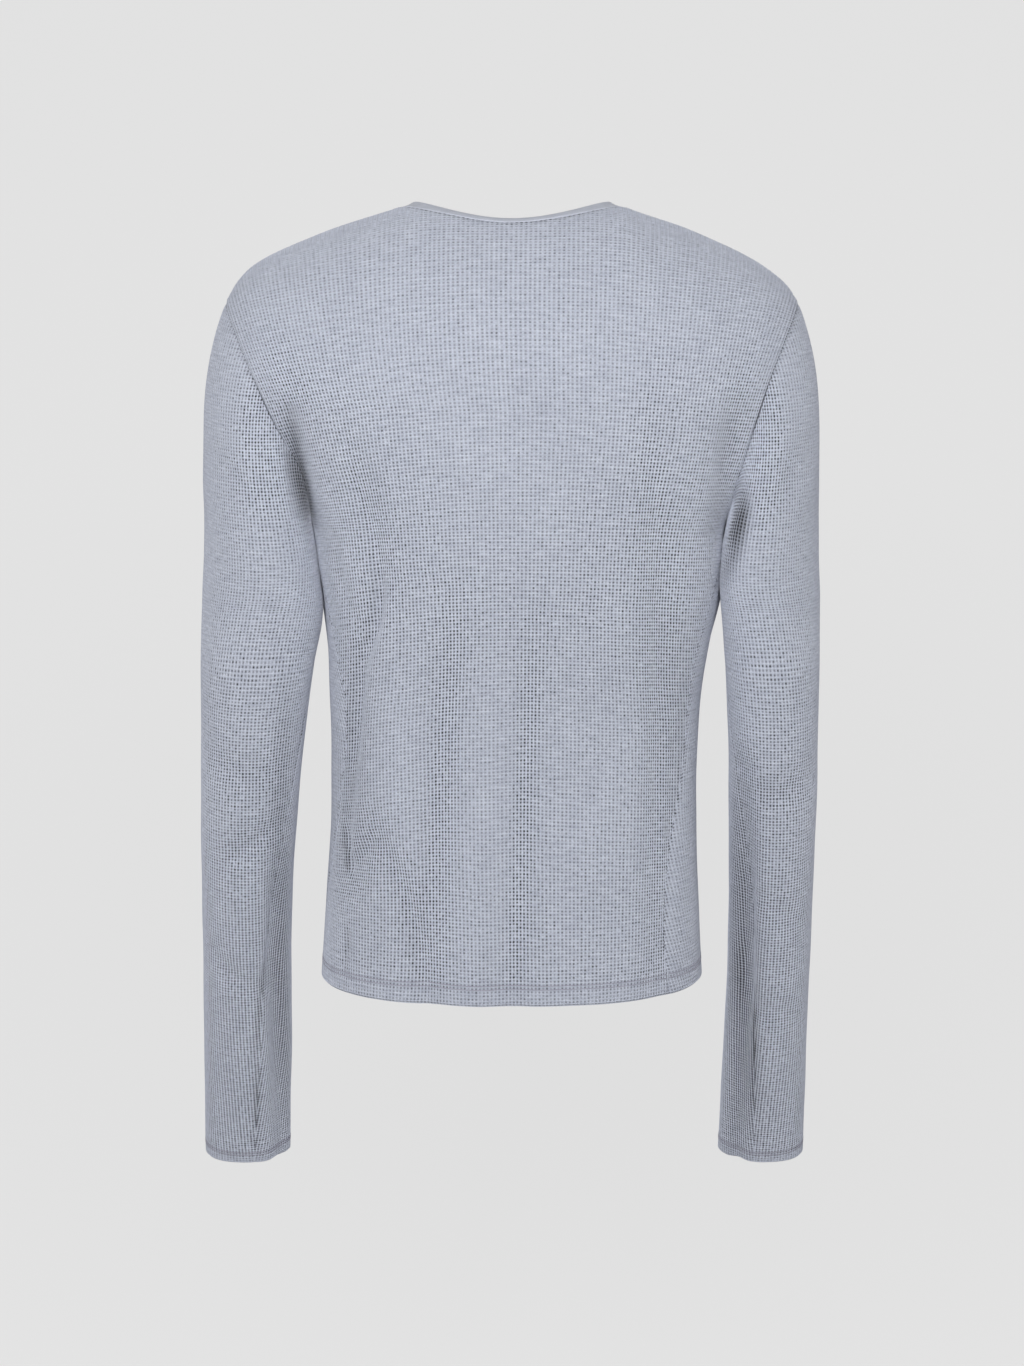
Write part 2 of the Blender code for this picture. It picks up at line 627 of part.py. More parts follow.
def build():
    for thing in list(bpy.data.objects):
        bpy.data.objects.remove(thing)
    bpy.context.scene.collection.children.link(bpy.data.collections.new("thermal_top"))
    pieces = {
        "back": panel_points("back")[:, ::-1],
        "front": panel_points("front"),
        "sleeve_left": folded_sleeve(sleeve_points("left"), "left")[:, ::-1],
        "sleeve_right": folded_sleeve(sleeve_points("right"), "right"),
        "neckband": neckband_points()[:, ::-1],
    }
    normals = common_normals(pieces)
    for name in ("back", "front"):
        points = pulled_back(pieces[name], ("first", "last", "top"))
        cloth(name, points, normals[name], walls(len(points)), CLOTH_COLOUR)
    for name in ("sleeve_left", "sleeve_right"):
        points = pulled_back(pieces[name], ("top",))
        cloth(name, points, normals[name], walls(len(points)), CLOTH_COLOUR)
    points = pulled_back(pieces["neckband"], ("bottom",))
    cloth("neckband", points, normals["neckband"], [SINGLE_WALL] + [BAND_WALL] * BAND_STEPS, BAND_COLOUR)


build()
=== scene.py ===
# %% [markdown]
# # A thermal top in waffle knit, seen from behind
#
# The top is a back, a front, two sleeves and a narrow neckband, all cut from one heather
# blue-grey waffle knit but for the band, which is a plain fine knit. The frame holds their
# plain solids. This lesson makes the cloth that is seen: it knits each piece flat, cell by
# cell, cuts it to its outline, and dresses it on the form that the solids have.

# %% Load the frame
import json
import math

import bpy
import numpy as np
from mathutils.kdtree import KDTree
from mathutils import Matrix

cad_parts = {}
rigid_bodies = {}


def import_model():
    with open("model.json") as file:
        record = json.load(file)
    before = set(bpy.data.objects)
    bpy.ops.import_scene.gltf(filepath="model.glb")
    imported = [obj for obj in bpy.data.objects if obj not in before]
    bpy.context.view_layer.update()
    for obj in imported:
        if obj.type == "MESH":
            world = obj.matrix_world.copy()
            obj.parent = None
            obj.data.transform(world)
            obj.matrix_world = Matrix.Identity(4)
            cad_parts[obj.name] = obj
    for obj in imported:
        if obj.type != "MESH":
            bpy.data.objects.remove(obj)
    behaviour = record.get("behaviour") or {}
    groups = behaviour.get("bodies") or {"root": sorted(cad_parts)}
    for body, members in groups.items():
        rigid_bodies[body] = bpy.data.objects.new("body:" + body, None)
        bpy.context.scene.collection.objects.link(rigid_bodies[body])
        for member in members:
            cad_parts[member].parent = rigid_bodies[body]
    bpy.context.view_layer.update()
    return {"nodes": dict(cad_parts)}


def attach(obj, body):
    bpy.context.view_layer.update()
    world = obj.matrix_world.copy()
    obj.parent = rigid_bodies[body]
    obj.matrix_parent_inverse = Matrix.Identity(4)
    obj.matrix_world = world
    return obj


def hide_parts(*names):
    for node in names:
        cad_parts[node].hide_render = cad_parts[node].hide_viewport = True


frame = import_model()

print("nodes in the frame:", ", ".join(sorted(frame["nodes"])))

# %% [markdown]
# ## Sizes
#
# Sizes are in metres, with +Z up and the wearer facing -Y, so the back is on the +Y side
# and the wearer's left is +X. The origin is the middle of the neck opening. They are the
# driving sizes of the solids, repeated here so that cloth and solids share one form. A table
# has a row for each section, and its first column is what the rows are read by.

# %% Sizes of the top
def table(columns, *rows):
    """Columns by their names, from rows; rows may leave out the last columns."""
    names = columns.split()[:len(rows[0])]
    return {name: np.array([row[place] for row in rows], float) for place, name in enumerate(names)}


HEM, UNDERARM, BLADE = -0.615, -0.245, -0.150
CUFF, UPPER_ARM = -0.790, -0.275
NECK_HALF_WIDTH, NECK_BACK, NECK_FRONT = 0.0870, 0.0525, 0.096
NECK_POINT_DROP, NECK_SLOPE, NECK_ROUNDNESS, NECK_SHARE = 0.0024, 0.24, 2.2, 0.39
BAND_WIDTH, BAND_CURL_BACK, BAND_CURL_FRONT, BAND_CURL_SIDE = 0.0105, -0.7, 0.3, 0.5
YOKE_PULL, FRONT_SLOPE, FRONT_SLOPE_REACH = 1.05, 55, 0.135
CAP_ROUND, BODY_SQUARENESS, SLEEVE_SQUARENESS = 0.37, 2.4, 2.15
BODY_FLATNESS, FOLD_TURN = 0.70, 2.5
SIDES = {"left": 1, "right": -1}

BODY = table(
    "height left right back front seam_left seam_right",
    (-0.615, 0.1545, 0.1538, 0.111, 0.106, 96, 51),
    (-0.590, 0.1527, 0.1525, 0.108, 0.104, 94, 51),
    (-0.540, 0.1488, 0.1504, 0.101, 0.101, 83, 52),
    (-0.490, 0.1459, 0.1483, 0.094, 0.100, 76, 58),
    (-0.441, 0.1454, 0.1478, 0.089, 0.102, 69, 65),
    (-0.392, 0.1457, 0.1505, 0.089, 0.107, 65, 66),
    (-0.343, 0.1468, 0.1572, 0.094, 0.112, 69, 66),
    (-0.311, 0.1490, 0.1628, 0.099, 0.115, 76, 70),
    (-0.280, 0.1530, 0.1650, 0.104, 0.117, 84, 78),
    (-0.245, 0.1580, 0.1690, 0.1091, 0.118, 90, 88),
    (-0.240, 0.1597, 0.1712, 0.1098, 0.118, 90, 90),
    (-0.230, 0.1640, 0.1765, 0.1111, 0.118, 90, 90),
    (-0.214, 0.1706, 0.1847, 0.113, 0.118, 90, 90),
    (-0.182, 0.1894, 0.1980, 0.116, 0.117, 90, 90),
    (-0.150, 0.2095, 0.2125, 0.117, 0.113, 90, 90),
)
ARMHOLE = table(
    "height back_left back_right front_left front_right",
    (-0.245, 90, 88, 90, 88),
    (-0.240, 84, 83, 95, 94),
    (-0.230, 77, 76, 101, 100),
    (-0.214, 71, 70, 106, 106),
    (-0.182, 66, 66, 111, 111),
    (-0.150, 63, 63, 115, 115),
)
SHOULDER = table(
    "reach drop_left drop_right",
    (0.0870, 0.0024, 0.0024),
    (0.1100, 0.0082, 0.0088),
    (0.1350, 0.0160, 0.0170),
    (0.1600, 0.0255, 0.0275),
    (0.1800, 0.0337, 0.0367),
    (0.1950, 0.0412, 0.0452),
    (0.2080, 0.0504, 0.0548),
    (0.2170, 0.0612, 0.0634),
    (0.2225, 0.0712, 0.0720),
    (0.2245, 0.0760, 0.0760),
)
SLEEVES = table(
    "height outer_left inner_left outer_right inner_right middle depth turn",
    (-0.790, 0.2583, 0.1868, 0.2450, 0.1738, -0.0735, 0.0290, 0),
    (-0.745, 0.2576, 0.1854, 0.2450, 0.1745, -0.0640, 0.0325, 0),
    (-0.671, 0.2558, 0.1827, 0.2450, 0.1769, -0.0490, 0.0380, 0),
    (-0.599, 0.2540, 0.1813, 0.2450, 0.1776, -0.0340, 0.0415, 0),
    (-0.528, 0.2524, 0.1775, 0.2458, 0.1767, -0.0200, 0.0440, 0),
    (-0.459, 0.2509, 0.1710, 0.2461, 0.1751, -0.0090, 0.0470, 2),
    (-0.392, 0.2490, 0.1625, 0.2458, 0.1722, -0.0020, 0.0520, 6),
    (-0.359, 0.2483, 0.1573, 0.2464, 0.1701, 0.0000, 0.0555, 11),
    (-0.327, 0.2477, 0.1513, 0.2464, 0.1674, -0.0020, 0.0590, 16),
    (-0.311, 0.2472, 0.1505, 0.2464, 0.1657, -0.0030, 0.0605, 18),
    (-0.294, 0.2470, 0.1526, 0.2463, 0.1651, -0.0030, 0.0620, 20),
    (-0.262, 0.2462, 0.1568, 0.2462, 0.1677, -0.0020, 0.0640, 20),
)
print("the body is %.0f mm long from the shoulder points to the hem" % (-1000 * HEM))

# %% [markdown]
# ## Folds and creases
#
# A fold runs through three places, given in millimetres across the body (+ is the wearer's
# left) and in height. A trough sinks below the surface by its depth, a ridge has a negative
# depth, and both fade out at their ends. The broad ones are in the solids too. The narrow
# ones are creases that only the cloth has: where the sleeves press into the armholes, where
# the waist is drawn in, and where the forearms are a little too long for the arm.
#
# Cloth that is pressed together looks darker than its form alone explains, because its cells
# Each crease also has a painted shade besides its depth, which the finish uses later: the
# cloth in a crease is painted darker, where the shade in it falls. Two very broad ones have
# only a painted shade, at both sides of the waist.
# Under the arms body and sleeve fold in together, cloth against cloth. Those folds have a
# table of their own, because they are pushed straight forward into both pieces alike. Pushed
# in along each piece's own slope, they would part the two at the armhole seam. Their shade
# paints in the deep shadow between sleeve and body.

# %% Folds of every piece
def fold_table(*rows):
    """Three places, each across and up, with width and depth, all in millimetres, and the painted shade."""
    columns = "across_1 height_1 across_2 height_2 across_3 height_3 width depth shade"
    return table(columns, *(np.append(np.array(row[:8]) / 1000, row[8:]) for row in rows))


FOLDS = {
    "back": fold_table(
        (126, -180, 103, -268, 113, -335, 12, 4.8),  # pulled in from the left blade
        (111, -305, 127, -390, 138, -520, 12, 5.2),  # down beside the left seam
        (110, -476, 86, -538, 67, -625, 12, 4.5),  # from the left waist to the hem
        (109, -480, 122, -514, 136, -545, 11, 4),  # and the other way
        (44, -290, 57, -454, 66, -660, 15, 5.5),
        (18, -370, 22, -500, 26, -640, 13, -3),
        (-18, -310, -10, -469, 3, -660, 14, 5),
        (-106, -150, -119, -395, -112, -660, 13, 6),  # down the right of the back
        (172, -110, 166, -168, 160, -226, 11, 2.5),  # beside the left armhole
        (-176, -130, -168, -190, -160, -250, 11, 3.5),  # beside the right armhole
    ),
    "front": fold_table(
        (165, -125, 156, -175, 140, -235, 11, 5),
        (-166, -125, -158, -180, -138, -240, 11, 5),
        (158, -220, 151, -292, 146, -362, 10, -8.5),  # pressed out under the left arm
        (-170, -214, -165, -288, -158, -360, 10, -10.5),
        (118, -250, 98, -330, 104, -420, 13, 4.5),
        (-112, -260, -96, -350, -106, -450, 12, 4.5),
        (92, -440, 74, -530, 80, -640, 14, 4.5),
        (-70, -420, -58, -520, -66, -640, 15, 4.5),
        (12, -400, 20, -510, 10, -640, 16, 3.5),
        (-26, -440, -20, -530, -28, -640, 12, -2.5),
    ),
    "left": fold_table(
        (240, -180, 222, -205, 196, -235, 12, 1.6),
        (232, -520, 212, -505, 186, -490, 11, 4),
        (248, -590, 226, -620, 196, -632, 10, 2),
        (188, -520, 190, -660, 192, -900, 9, 6),  # behind the left forearm's seam
        (242, -420, 216, -445, 184, -440, 13, 3),
    ),
    "right": fold_table(
        (-240, -170, -222, -200, -198, -240, 12, 3),
        (-181, -440, -185, -620, -182, -900, 10, 7.5),  # behind the right forearm's seam
        (-238, -440, -216, -462, -188, -450, 13, 3),
        (-236, -585, -214, -560, -190, -545, 11, 3.2),
        (-232, -660, -212, -650, -190, -665, 10, 2.6),
    ),
}
CREASES = {
    "back": fold_table(
        # a long bend down the left side, and the cloth standing beside it
        (124, -205, 109, -251, 104, -300, 5, 2.4, 0.04),
        (105, -275, 107, -316, 119, -350, 4.8, 4.2, 0.1),
        (118, -342, 125, -390, 129, -455, 5, 4.2, 0.08),
        (98, -280, 99, -318, 111, -358, 5.5, -2.2, 0),
        (129, -450, 132, -482, 139, -520, 4.8, 2.6, 0.06),
        (137, -255, 133, -290, 123, -318, 4.5, 2.2, 0.05),
        # creases that part at the left hip
        (109, -486, 121, -506, 137, -524, 4.8, 2.6, 0.05),
        (108, -486, 84, -536, 67, -620, 5.2, 1.8, 0.05),
        (134, -486, 131.5, -506, 130, -524, 2.1, 3, 0.45),
        (130, -560, 131, -580, 133, -600, 2.6, 2.2, 0.2),
        # down beside the right seam
        (-126, -400, -122, -470, -120, -560, 4.5, -1.4, 0),
        (-131, -300, -132.5, -400, -120, -620, 4, 1.6, 0.06),
        # painted shade only, with no depth, at both sides of the waist
        (116, -360, 122, -480, 110, -600, 20, 0, 0.1),
        (-136, -320, -140, -450, -136, -600, 15, 0, 0.1),
    ),
    "front": fold_table(
        (158, -140, 150, -180, 136, -230, 4.5, 2.2, 0.05),
        (-160, -138, -151, -184, -135, -236, 4.5, 2.2, 0.05),
        (120, -470, 112, -500, 94, -522, 4, 1.6, 0.05),
        (-118, -486, -104, -512, -90, -560, 4, 1.5, 0.05),
        (-10, -118, -4, -150, -12, -190, 6, 0.8, 0),
    ),
    "left": fold_table(
        (234, -186, 216, -204, 196, -222, 4.5, 0.8, 0.03),
        (226, -520, 206, -505, 186, -482, 5, 1.4, 0.05),
        (193, -590, 197, -618, 200, -650, 5, 2.8, 0.1),
        (246, -590, 224, -620, 200, -628, 5, 1, 0.04),
        (190, -300, 182, -330, 180, -360, 6, 1.2, 0.03),
        # down the inner side, painted dark where the body keeps the light off, and a narrow dark one above
        # the cuff
        (178, -370, 189, -600, 188, -760, 8, 2.2, 0.3),
        (200.2, -609, 206.6, -651, 209, -694, 1.8, 1.2, 0.4),
        (209.2, -698, 211.2, -735, 213.2, -778, 1.8, 1.2, 0.5),
    ),
    "right": fold_table(
        (-178, -500, -179, -580, -178, -670, 4, 1.6, 0.05),
        (-188, -520, -190, -600, -188, -665, 4, 1.6, 0.05),
        (-186, -592, -186, -622, -190, -652, 6, 3, 0.16),
        (-230, -452, -214, -462, -198, -458, 4, 0.6, 0.03),
        # down the inner side, painted dark where the body keeps the light off, and a narrow dark one above
        # the cuff
        (-181, -430, -191, -640, -190, -800, 12, 2.6, 0.38),
        (-198, -630, -199, -690, -199.4, -768, 1.7, 1.2, 0.42),
    ),
}
PRESSED_IN = fold_table(  # where body and sleeve fold in together, left and then right, with a painted shadow
    (172, -155, 165.5, -207, 156, -249, 6.6, 13, 0.62),
    (165.5, -196, 161, -222, 156, -246, 3.6, 5, 0.5),
    (-169, -150, -165, -190, -158.5, -245, 8, 3.5, 0.12),
    (-178.5, -216, -177, -246, -163, -296, 4.8, 10, 0.45),
    (-178.8, -230, -176, -246, -169, -264, 3.4, 4, 0.5),
)
PRESSED_FROM = 0.030  # how far behind the middle the pressing reaches its full depth
PRESSED_SHADE_AHEAD = 0.5  # share of that by which their painted shadow starts further forward
UNDER_ARM = (-0.262, 0.034, 0.045)  # where sleeve and side lie together: height, reach up, reach back
LYING_TOGETHER = 0.0010  # how far each is pressed into the other there
for name in FOLDS:
    print(name, "has %d folds and %d creases" % (len(FOLDS[name]["width"]), len(CREASES[name]["width"])))

# %% [markdown]
# ## The form
#
# A worn top could be draped by simulation over a dress form, but its outline has to fit the
# solids all round. So the form is worked out as the solids' was, in much finer steps:
# superellipse sections up the body, smooth curves over the shoulders, and the neckline cut
# out of them.

# %% Curves
SECTION_STEPS = 361  # points that a section is drawn with before it is spaced out
SMALL_STEP = 0.004  # between two sections, to see which way the cloth runs


def curve_between(start, end, start_pull, end_pull, share):
    square, cube = share ** 2, share ** 3
    return ((2 * cube - 3 * square + 1) * start + (3 * square - 2 * cube) * end
            + (cube - 2 * square + share) * start_pull + (cube - square) * end_pull)


def read(sizes, column, at):
    places, values = next(iter(sizes.values())), sizes[column]
    slopes = np.gradient(values, places)
    at = np.clip(at, places[0], places[-1])
    row = np.clip(np.searchsorted(places, at) - 1, 0, len(places) - 2)
    span = places[row + 1] - places[row]
    share = (at - places[row]) / span
    return curve_between(values[row], values[row + 1], slopes[row] * span, slopes[row + 1] * span, share)


def lengths_along(line):
    steps = np.linalg.norm(np.diff(line, axis=0), axis=-1)
    return np.concatenate([np.zeros_like(steps[:1]), np.cumsum(steps, axis=0)])


def spaced(line, shares):
    length = lengths_along(line)
    return np.stack([np.interp(shares * length[-1], length, line[:, axis]) for axis in range(3)], axis=1)


def eased(share):
    share = np.clip(share, 0, 1)
    return share ** 2 * (3 - 2 * share)


def rounded(value, squareness):
    return np.sign(value) * np.abs(value) ** (2 / squareness)


def unit(vectors):
    return vectors / np.maximum(np.linalg.norm(vectors, axis=-1, keepdims=True), 1e-12)


print("a cubic through the waist is %.1f mm deep at the back" % (1000 * read(BODY, "back", -0.42)))


# %% Sections of the body
def body_section(height, angles):
    turn = np.radians(angles)
    across, fore = np.sin(turn), np.cos(turn)
    wide = np.where(across > 0, read(BODY, "left", height), read(BODY, "right", height))
    deep = np.where(fore > 0, read(BODY, "back", height), read(BODY, "front", height))
    return np.stack([wide * rounded(across, BODY_SQUARENESS), deep * rounded(fore, BODY_SQUARENESS),
                     np.full_like(wide, height)], axis=1)


def panel_row(panel, height, shares):
    sizes, kind = (BODY, "seam") if height <= UNDERARM else (ARMHOLE, panel)
    left, right = read(sizes, kind + "_left", height), read(sizes, kind + "_right", height)
    start = -right if panel == "back" else 360 - right
    return spaced(body_section(height, np.linspace(start, left, SECTION_STEPS)), shares)


print("round the hem: %.0f mm" % (1000 * sum(
    lengths_along(panel_row(panel, HEM, np.linspace(0, 1, 99)))[-1] for panel in ("back", "front"))))


# %% Shoulders and neckline
YOKE_STEPS = 97  # points up each column above the blades
RIDGE_STEPS = 161  # and out along a shoulder


def ridge(panel, across):
    """Where columns end above the shoulders, and the way they arrive there."""
    beyond = np.clip((np.abs(across) - NECK_SHARE) / (1 - NECK_SHARE), 0, 1)
    over_neck = np.clip(across / NECK_SHARE, -1, 1) * NECK_HALF_WIDTH
    inside = NECK_HALF_WIDTH - np.abs(over_neck)
    height = NECK_SLOPE * inside * (1 - inside / (2 * NECK_HALF_WIDTH)) - NECK_POINT_DROP
    ends = np.stack([over_neck, 0 * over_neck, height], axis=1)
    reach = np.linspace(SHOULDER["reach"][0], SHOULDER["reach"][-1], RIDGE_STEPS)
    for side, way in SIDES.items():
        line = np.stack([way * reach, 0 * reach, -read(SHOULDER, "drop_" + side, reach)], axis=1)
        outside = way * across > NECK_SHARE
        ends[outside] = spaced(line, beyond[outside])
    out = np.abs(ends[:, 0])
    slope = np.radians(FRONT_SLOPE) * eased(1 - out / FRONT_SLOPE_REACH)
    if panel == "back":
        at_neck_point = np.radians(FRONT_SLOPE) * eased(1 - NECK_HALF_WIDTH / FRONT_SLOPE_REACH)
        slope = np.where(out < NECK_HALF_WIDTH, at_neck_point * eased(out / NECK_HALF_WIDTH), slope)
    way = 1 if panel == "front" else -1
    return ends, way * np.stack([0 * slope, np.cos(slope), np.sin(slope)], axis=1)


def yoke(panel, across):
    """The columns of a panel above the blades, over the neck as well."""
    shares = (across + 1) / 2
    start = panel_row(panel, BLADE, shares)
    leave = unit(start - panel_row(panel, BLADE - SMALL_STEP, shares))
    ends, arrive = ridge(panel, across)
    chord = YOKE_PULL * np.linalg.norm(ends - start, axis=1, keepdims=True)
    up = np.linspace(0, 1, YOKE_STEPS)[:, None, None]
    return curve_between(start, ends, leave * chord, arrive * chord, up)


def neck_end(line, panel):
    """Where along a column it crosses the neckline, in steps, or where it ends if it doesn't."""
    ahead = np.abs(line[:, 1]) / NECK_BACK
    if panel == "front":
        ahead = np.abs(line[:, 1] + line[:, 2]) / (np.sqrt(2) * NECK_FRONT)
    inside = (np.abs(line[:, 0]) / NECK_HALF_WIDTH) ** NECK_ROUNDNESS + ahead ** NECK_ROUNDNESS - 1
    crossed = np.flatnonzero(inside < -1e-9)
    if len(crossed) == 0:
        return len(line) - 1.0
    after = crossed[0]
    return after - 1 + inside[after - 1] / (inside[after - 1] - inside[after])


middle = yoke("back", np.array([0.0]))[:, 0]
print("the back of the neck is cut at step %.1f of %d" % (neck_end(middle, "back"), YOKE_STEPS - 1))


# %% [markdown]
# Folding comes next. Cloth is never even, so besides the folds a few slow waves of less than
# a millimetre run over it, mostly up and down, as a knit settles.

# %% Folding
SETTLING = 0.00035  # height of the slow waves
BODY_SHIFT, SLEEVE_SHIFT = 0.4, 1.9  # so that they differ from piece to piece
FOLD_STEPS = 101  # places along a fold that the distance to it is measured from
FOLD_REACH = 4  # in widths; a fold is nothing beyond it
FADE_END, FADE_POWER = 0.04, 0.6  # how a fold fades toward its ends


def fold_depth(points, folds, size="depth"):
    """How deep in the folds of a table each point lies, or its painted shade when size says so."""
    depth = np.zeros(points.shape[:2])
    share = np.linspace(0, 1, FOLD_STEPS)
    flat = points[:, :, (0, 2)]
    for row in range(len(folds["width"])):
        ends = [np.array([folds["across_%d" % n][row], folds["height_%d" % n][row]]) for n in (1, 2, 3)]
        width = folds["width"][row]
        low, high = np.min(ends, axis=0) - FOLD_REACH * width, np.max(ends, axis=0) + FOLD_REACH * width
        near = ((flat > low) & (flat < high)).all(axis=2)
        bend = 2 * ends[1] - (ends[0] + ends[2]) / 2
        path = [(1 - s) ** 2 * ends[0] + 2 * s * (1 - s) * bend + s ** 2 * ends[2] for s in share]
        away = np.stack([np.linalg.norm(flat[near] - place, axis=1) for place in path])
        nearest = share[np.argmin(away, axis=0)]
        fade = np.sin(np.pi * np.clip(nearest, FADE_END, 1 - FADE_END)) ** FADE_POWER
        depth[near] += folds[size][row] * fade * np.exp(-(away.min(axis=0) / width) ** 2)
    return depth


def settled(points, shift):
    """Slow uneven waves in the cloth: broad ones that bend about, and smaller ones half as wide."""
    x, y, z = np.moveaxis(points, 2, 0)
    across, up = np.sin(z * 17 + shift), np.sin(x * 29 + y * 13)
    broad = np.sin(x * 61 + 2.1 * across) * np.sin(z * 23 + 1.7 * up + shift)
    small = np.sin(x * 118 + z * 31 + shift) * np.sin(z * 57 - x * 21 + y * 40)
    return SETTLING * (broad + 0.6 * small)


def folded_body(points):
    outward = unit(points * (BODY_FLATNESS ** 2, 1, 0))
    depth = settled(points, BODY_SHIFT)
    for panel, way in (("back", 1), ("front", -1)):
        facing = np.clip(way * outward[:, :, 1] * FOLD_TURN, 0, 1)
        depth += facing * (fold_depth(points, FOLDS[panel]) + fold_depth(points, CREASES[panel]))
    return points - outward * depth[:, :, None]


def pressed_in(points, outward):
    """Move the cloth of body and sleeve alike straight forward into the folds under the arms,
    and press the two together; outward is 1 for the body and -1 for a sleeve."""
    behind = eased(points[:, :, 1] / PRESSED_FROM)
    moved = points.copy()
    moved[:, :, 1] -= behind * fold_depth(points, PRESSED_IN)
    above, back = (points[:, :, 2] - UNDER_ARM[0]) / UNDER_ARM[1], points[:, :, 1] / UNDER_ARM[2]
    near = np.exp(-above ** 4 - back ** 4)
    moved[:, :, 0] += outward * np.sign(points[:, :, 0]) * near * LYING_TOGETHER
    return moved


print("the deepest fold of the back is %.1f mm deep" % (1000 * FOLDS["back"]["depth"].max()))

# %% [markdown]
# ## Knitting to shape
#
# Waffle knit is a grid of raised ribs round sunken cells. Its upright ribs are the wales and
# its level ones the courses, and both are cut off where a pattern piece ends, not squeezed to
# fit. So each piece keeps a knit coordinate beside its form: how many wales from the middle,
# and how many courses from the hem. The ribs lie closer where the cloth is slack, at the
# waist and the wrists, and further apart where the shoulders stretch it.

# %% How wide and high the cells are
FOLD_RADIUS = 0.0016  # of the turned edge of a hem or cuff
COURSE = 0.00276  # height of a course of the body
WALES = table(
    "height middle side",
    (-0.615, 0.00300, 0.00290),
    (-0.550, 0.00308, 0.00300),
    (-0.450, 0.00318, 0.00300),
    (-0.400, 0.00318, 0.00295),
    (-0.360, 0.00310, 0.00280),
    (-0.310, 0.00300, 0.00275),
    (-0.220, 0.00317, 0.00277),
    (-0.190, 0.00328, 0.00285),
    (-0.150, 0.00343, 0.00288),
    (-0.100, 0.00358, 0.00300),
)
WALES_REACH = 0.10  # how far out the wales of the middle go over into those of the sides
FRONT_WALES = 1.14  # the front is pulled wider by the chest
GATHER = 30  # how much closer wales lie in a trough, per metre of its depth
DROOP = {"left": 0.60, "right": 0.32}  # how much courses sink toward the sides of the back
DROOP_REACH, DROOP_COURSES = 0.19, 60  # how far out they go on sinking, and how far up it grows
SLEEVE_CELLS = table(
    "height wale course",
    (-0.790, 0.00270, 0.00215),
    (-0.600, 0.00276, 0.00240),
    (-0.400, 0.00292, 0.00268),
    (-0.275, 0.00310, 0.00275),
)
SLEEVE_SEAM = table("height share", (-0.790, 0.214), (-0.700, 0.197), (-0.600, 0.167), (-0.530, 0.126),
                    (-0.400, 0.070), (-0.300, 0.008), (-0.275, 0.0))
FORM_STEP, FORM_COLUMNS = 0.0024, 241  # how finely the form is worked out
TABLE_STEP = 0.5  # of the tables between wales and shares, in wales

forms = {}


def wales_across(panel, points):
    """Count the wales along each row of a panel, from its middle."""
    steps = np.linalg.norm(np.diff(points, axis=1), axis=2)
    halfway = (points[:, 1:] + points[:, :-1]) / 2
    height, across = halfway[:, :, 2], halfway[:, :, 0]
    near = np.exp(-(across / WALES_REACH) ** 2)
    pitch = near * read(WALES, "middle", height) + (1 - near) * read(WALES, "side", height)
    if panel == "front":
        pitch = pitch * FRONT_WALES
    slack = np.maximum(fold_depth(halfway, FOLDS[panel]), 0)
    pitch = pitch * (1 - GATHER * slack)
    count = np.concatenate([np.zeros((len(points), 1)), np.cumsum(steps / pitch, axis=1)], axis=1)
    at_middle = [np.interp(0, row[:, 0], counted) for row, counted in zip(points, count)]
    return count - np.array(at_middle)[:, None]


def keep_knit(form, wales, shares):
    """Tables between wales and shares of the width, with a row for every course."""
    levels = np.arange(0, form["course"].max() + 1)
    last = form["course"].shape[1] - 1
    wale_rows = np.array([np.interp(levels, form["course"][:, min(column, last)], wales[:, column])
                          for column in range(wales.shape[1])]).T
    axis = np.arange(math.floor(wales.min()) - 2, math.ceil(wales.max()) + 3, TABLE_STEP)
    form["wale_rows"], form["shares"], form["axis"] = wale_rows, shares, axis
    form["share_rows"] = np.array([np.interp(axis, row, shares) for row in wale_rows])


def panel_form(panel):
    across = np.linspace(-1, 1, FORM_COLUMNS)
    heights = np.arange(HEM + FOLD_RADIUS, BLADE, FORM_STEP)
    lower = np.array([panel_row(panel, height, (across + 1) / 2) for height in heights])
    upper = yoke(panel, across)
    points = np.concatenate([lower, upper])
    level = (np.append(heights, BLADE) - heights[0]) / COURSE
    above = level[-1] + lengths_along(upper) / COURSE
    course = np.concatenate([np.repeat(level[:-1, None], FORM_COLUMNS, axis=1), above])
    out = np.clip(points[len(heights), :, 0], -DROOP_REACH, DROOP_REACH)
    droop = np.where(out > 0, DROOP["left"], DROOP["right"]) * out ** 2 / COURSE
    if panel == "back":
        course = course + droop * eased(course / DROOP_COURSES)
    steps = [len(lower) + neck_end(upper[:, column], panel) for column in range(FORM_COLUMNS)]
    end = np.array([np.interp(step, range(len(course)), rows) for rows, step in zip(course.T, steps)])
    wales = wales_across(panel, points[:len(heights) + 1])
    wales = np.concatenate([wales[:-1], np.repeat(wales[-1:], len(upper), axis=0)])
    side = 1 if panel == "back" else -1
    forms[panel] = {"points": folded_body(points), "course": course, "end": end, "tube": False, "name": panel,
                    "crease_side": side, "facing": -side, "underarm": np.searchsorted(heights, UNDERARM)}
    keep_knit(forms[panel], wales, (across + 1) / 2)
    return forms[panel]


for panel in ("back", "front"):
    form = panel_form(panel)
    wales = np.ptp(form["wale_rows"], axis=1)
    print(panel, "has up to %d wales and %d courses" % (wales.max(), form["end"].max()))


# %% [markdown]
# A sleeve is a tube of sections that slants forward, and its cap runs up to the armhole
# that the two panels leave. Its seam starts under the arm and turns toward the back on its
# way down, as on a sleeve cut for a bent elbow.

# %% Sleeves
CAP_STEPS = 73  # points up each column of the cap
FOLDS_END = 6  # courses below the armhole over which a sleeve's folds die out


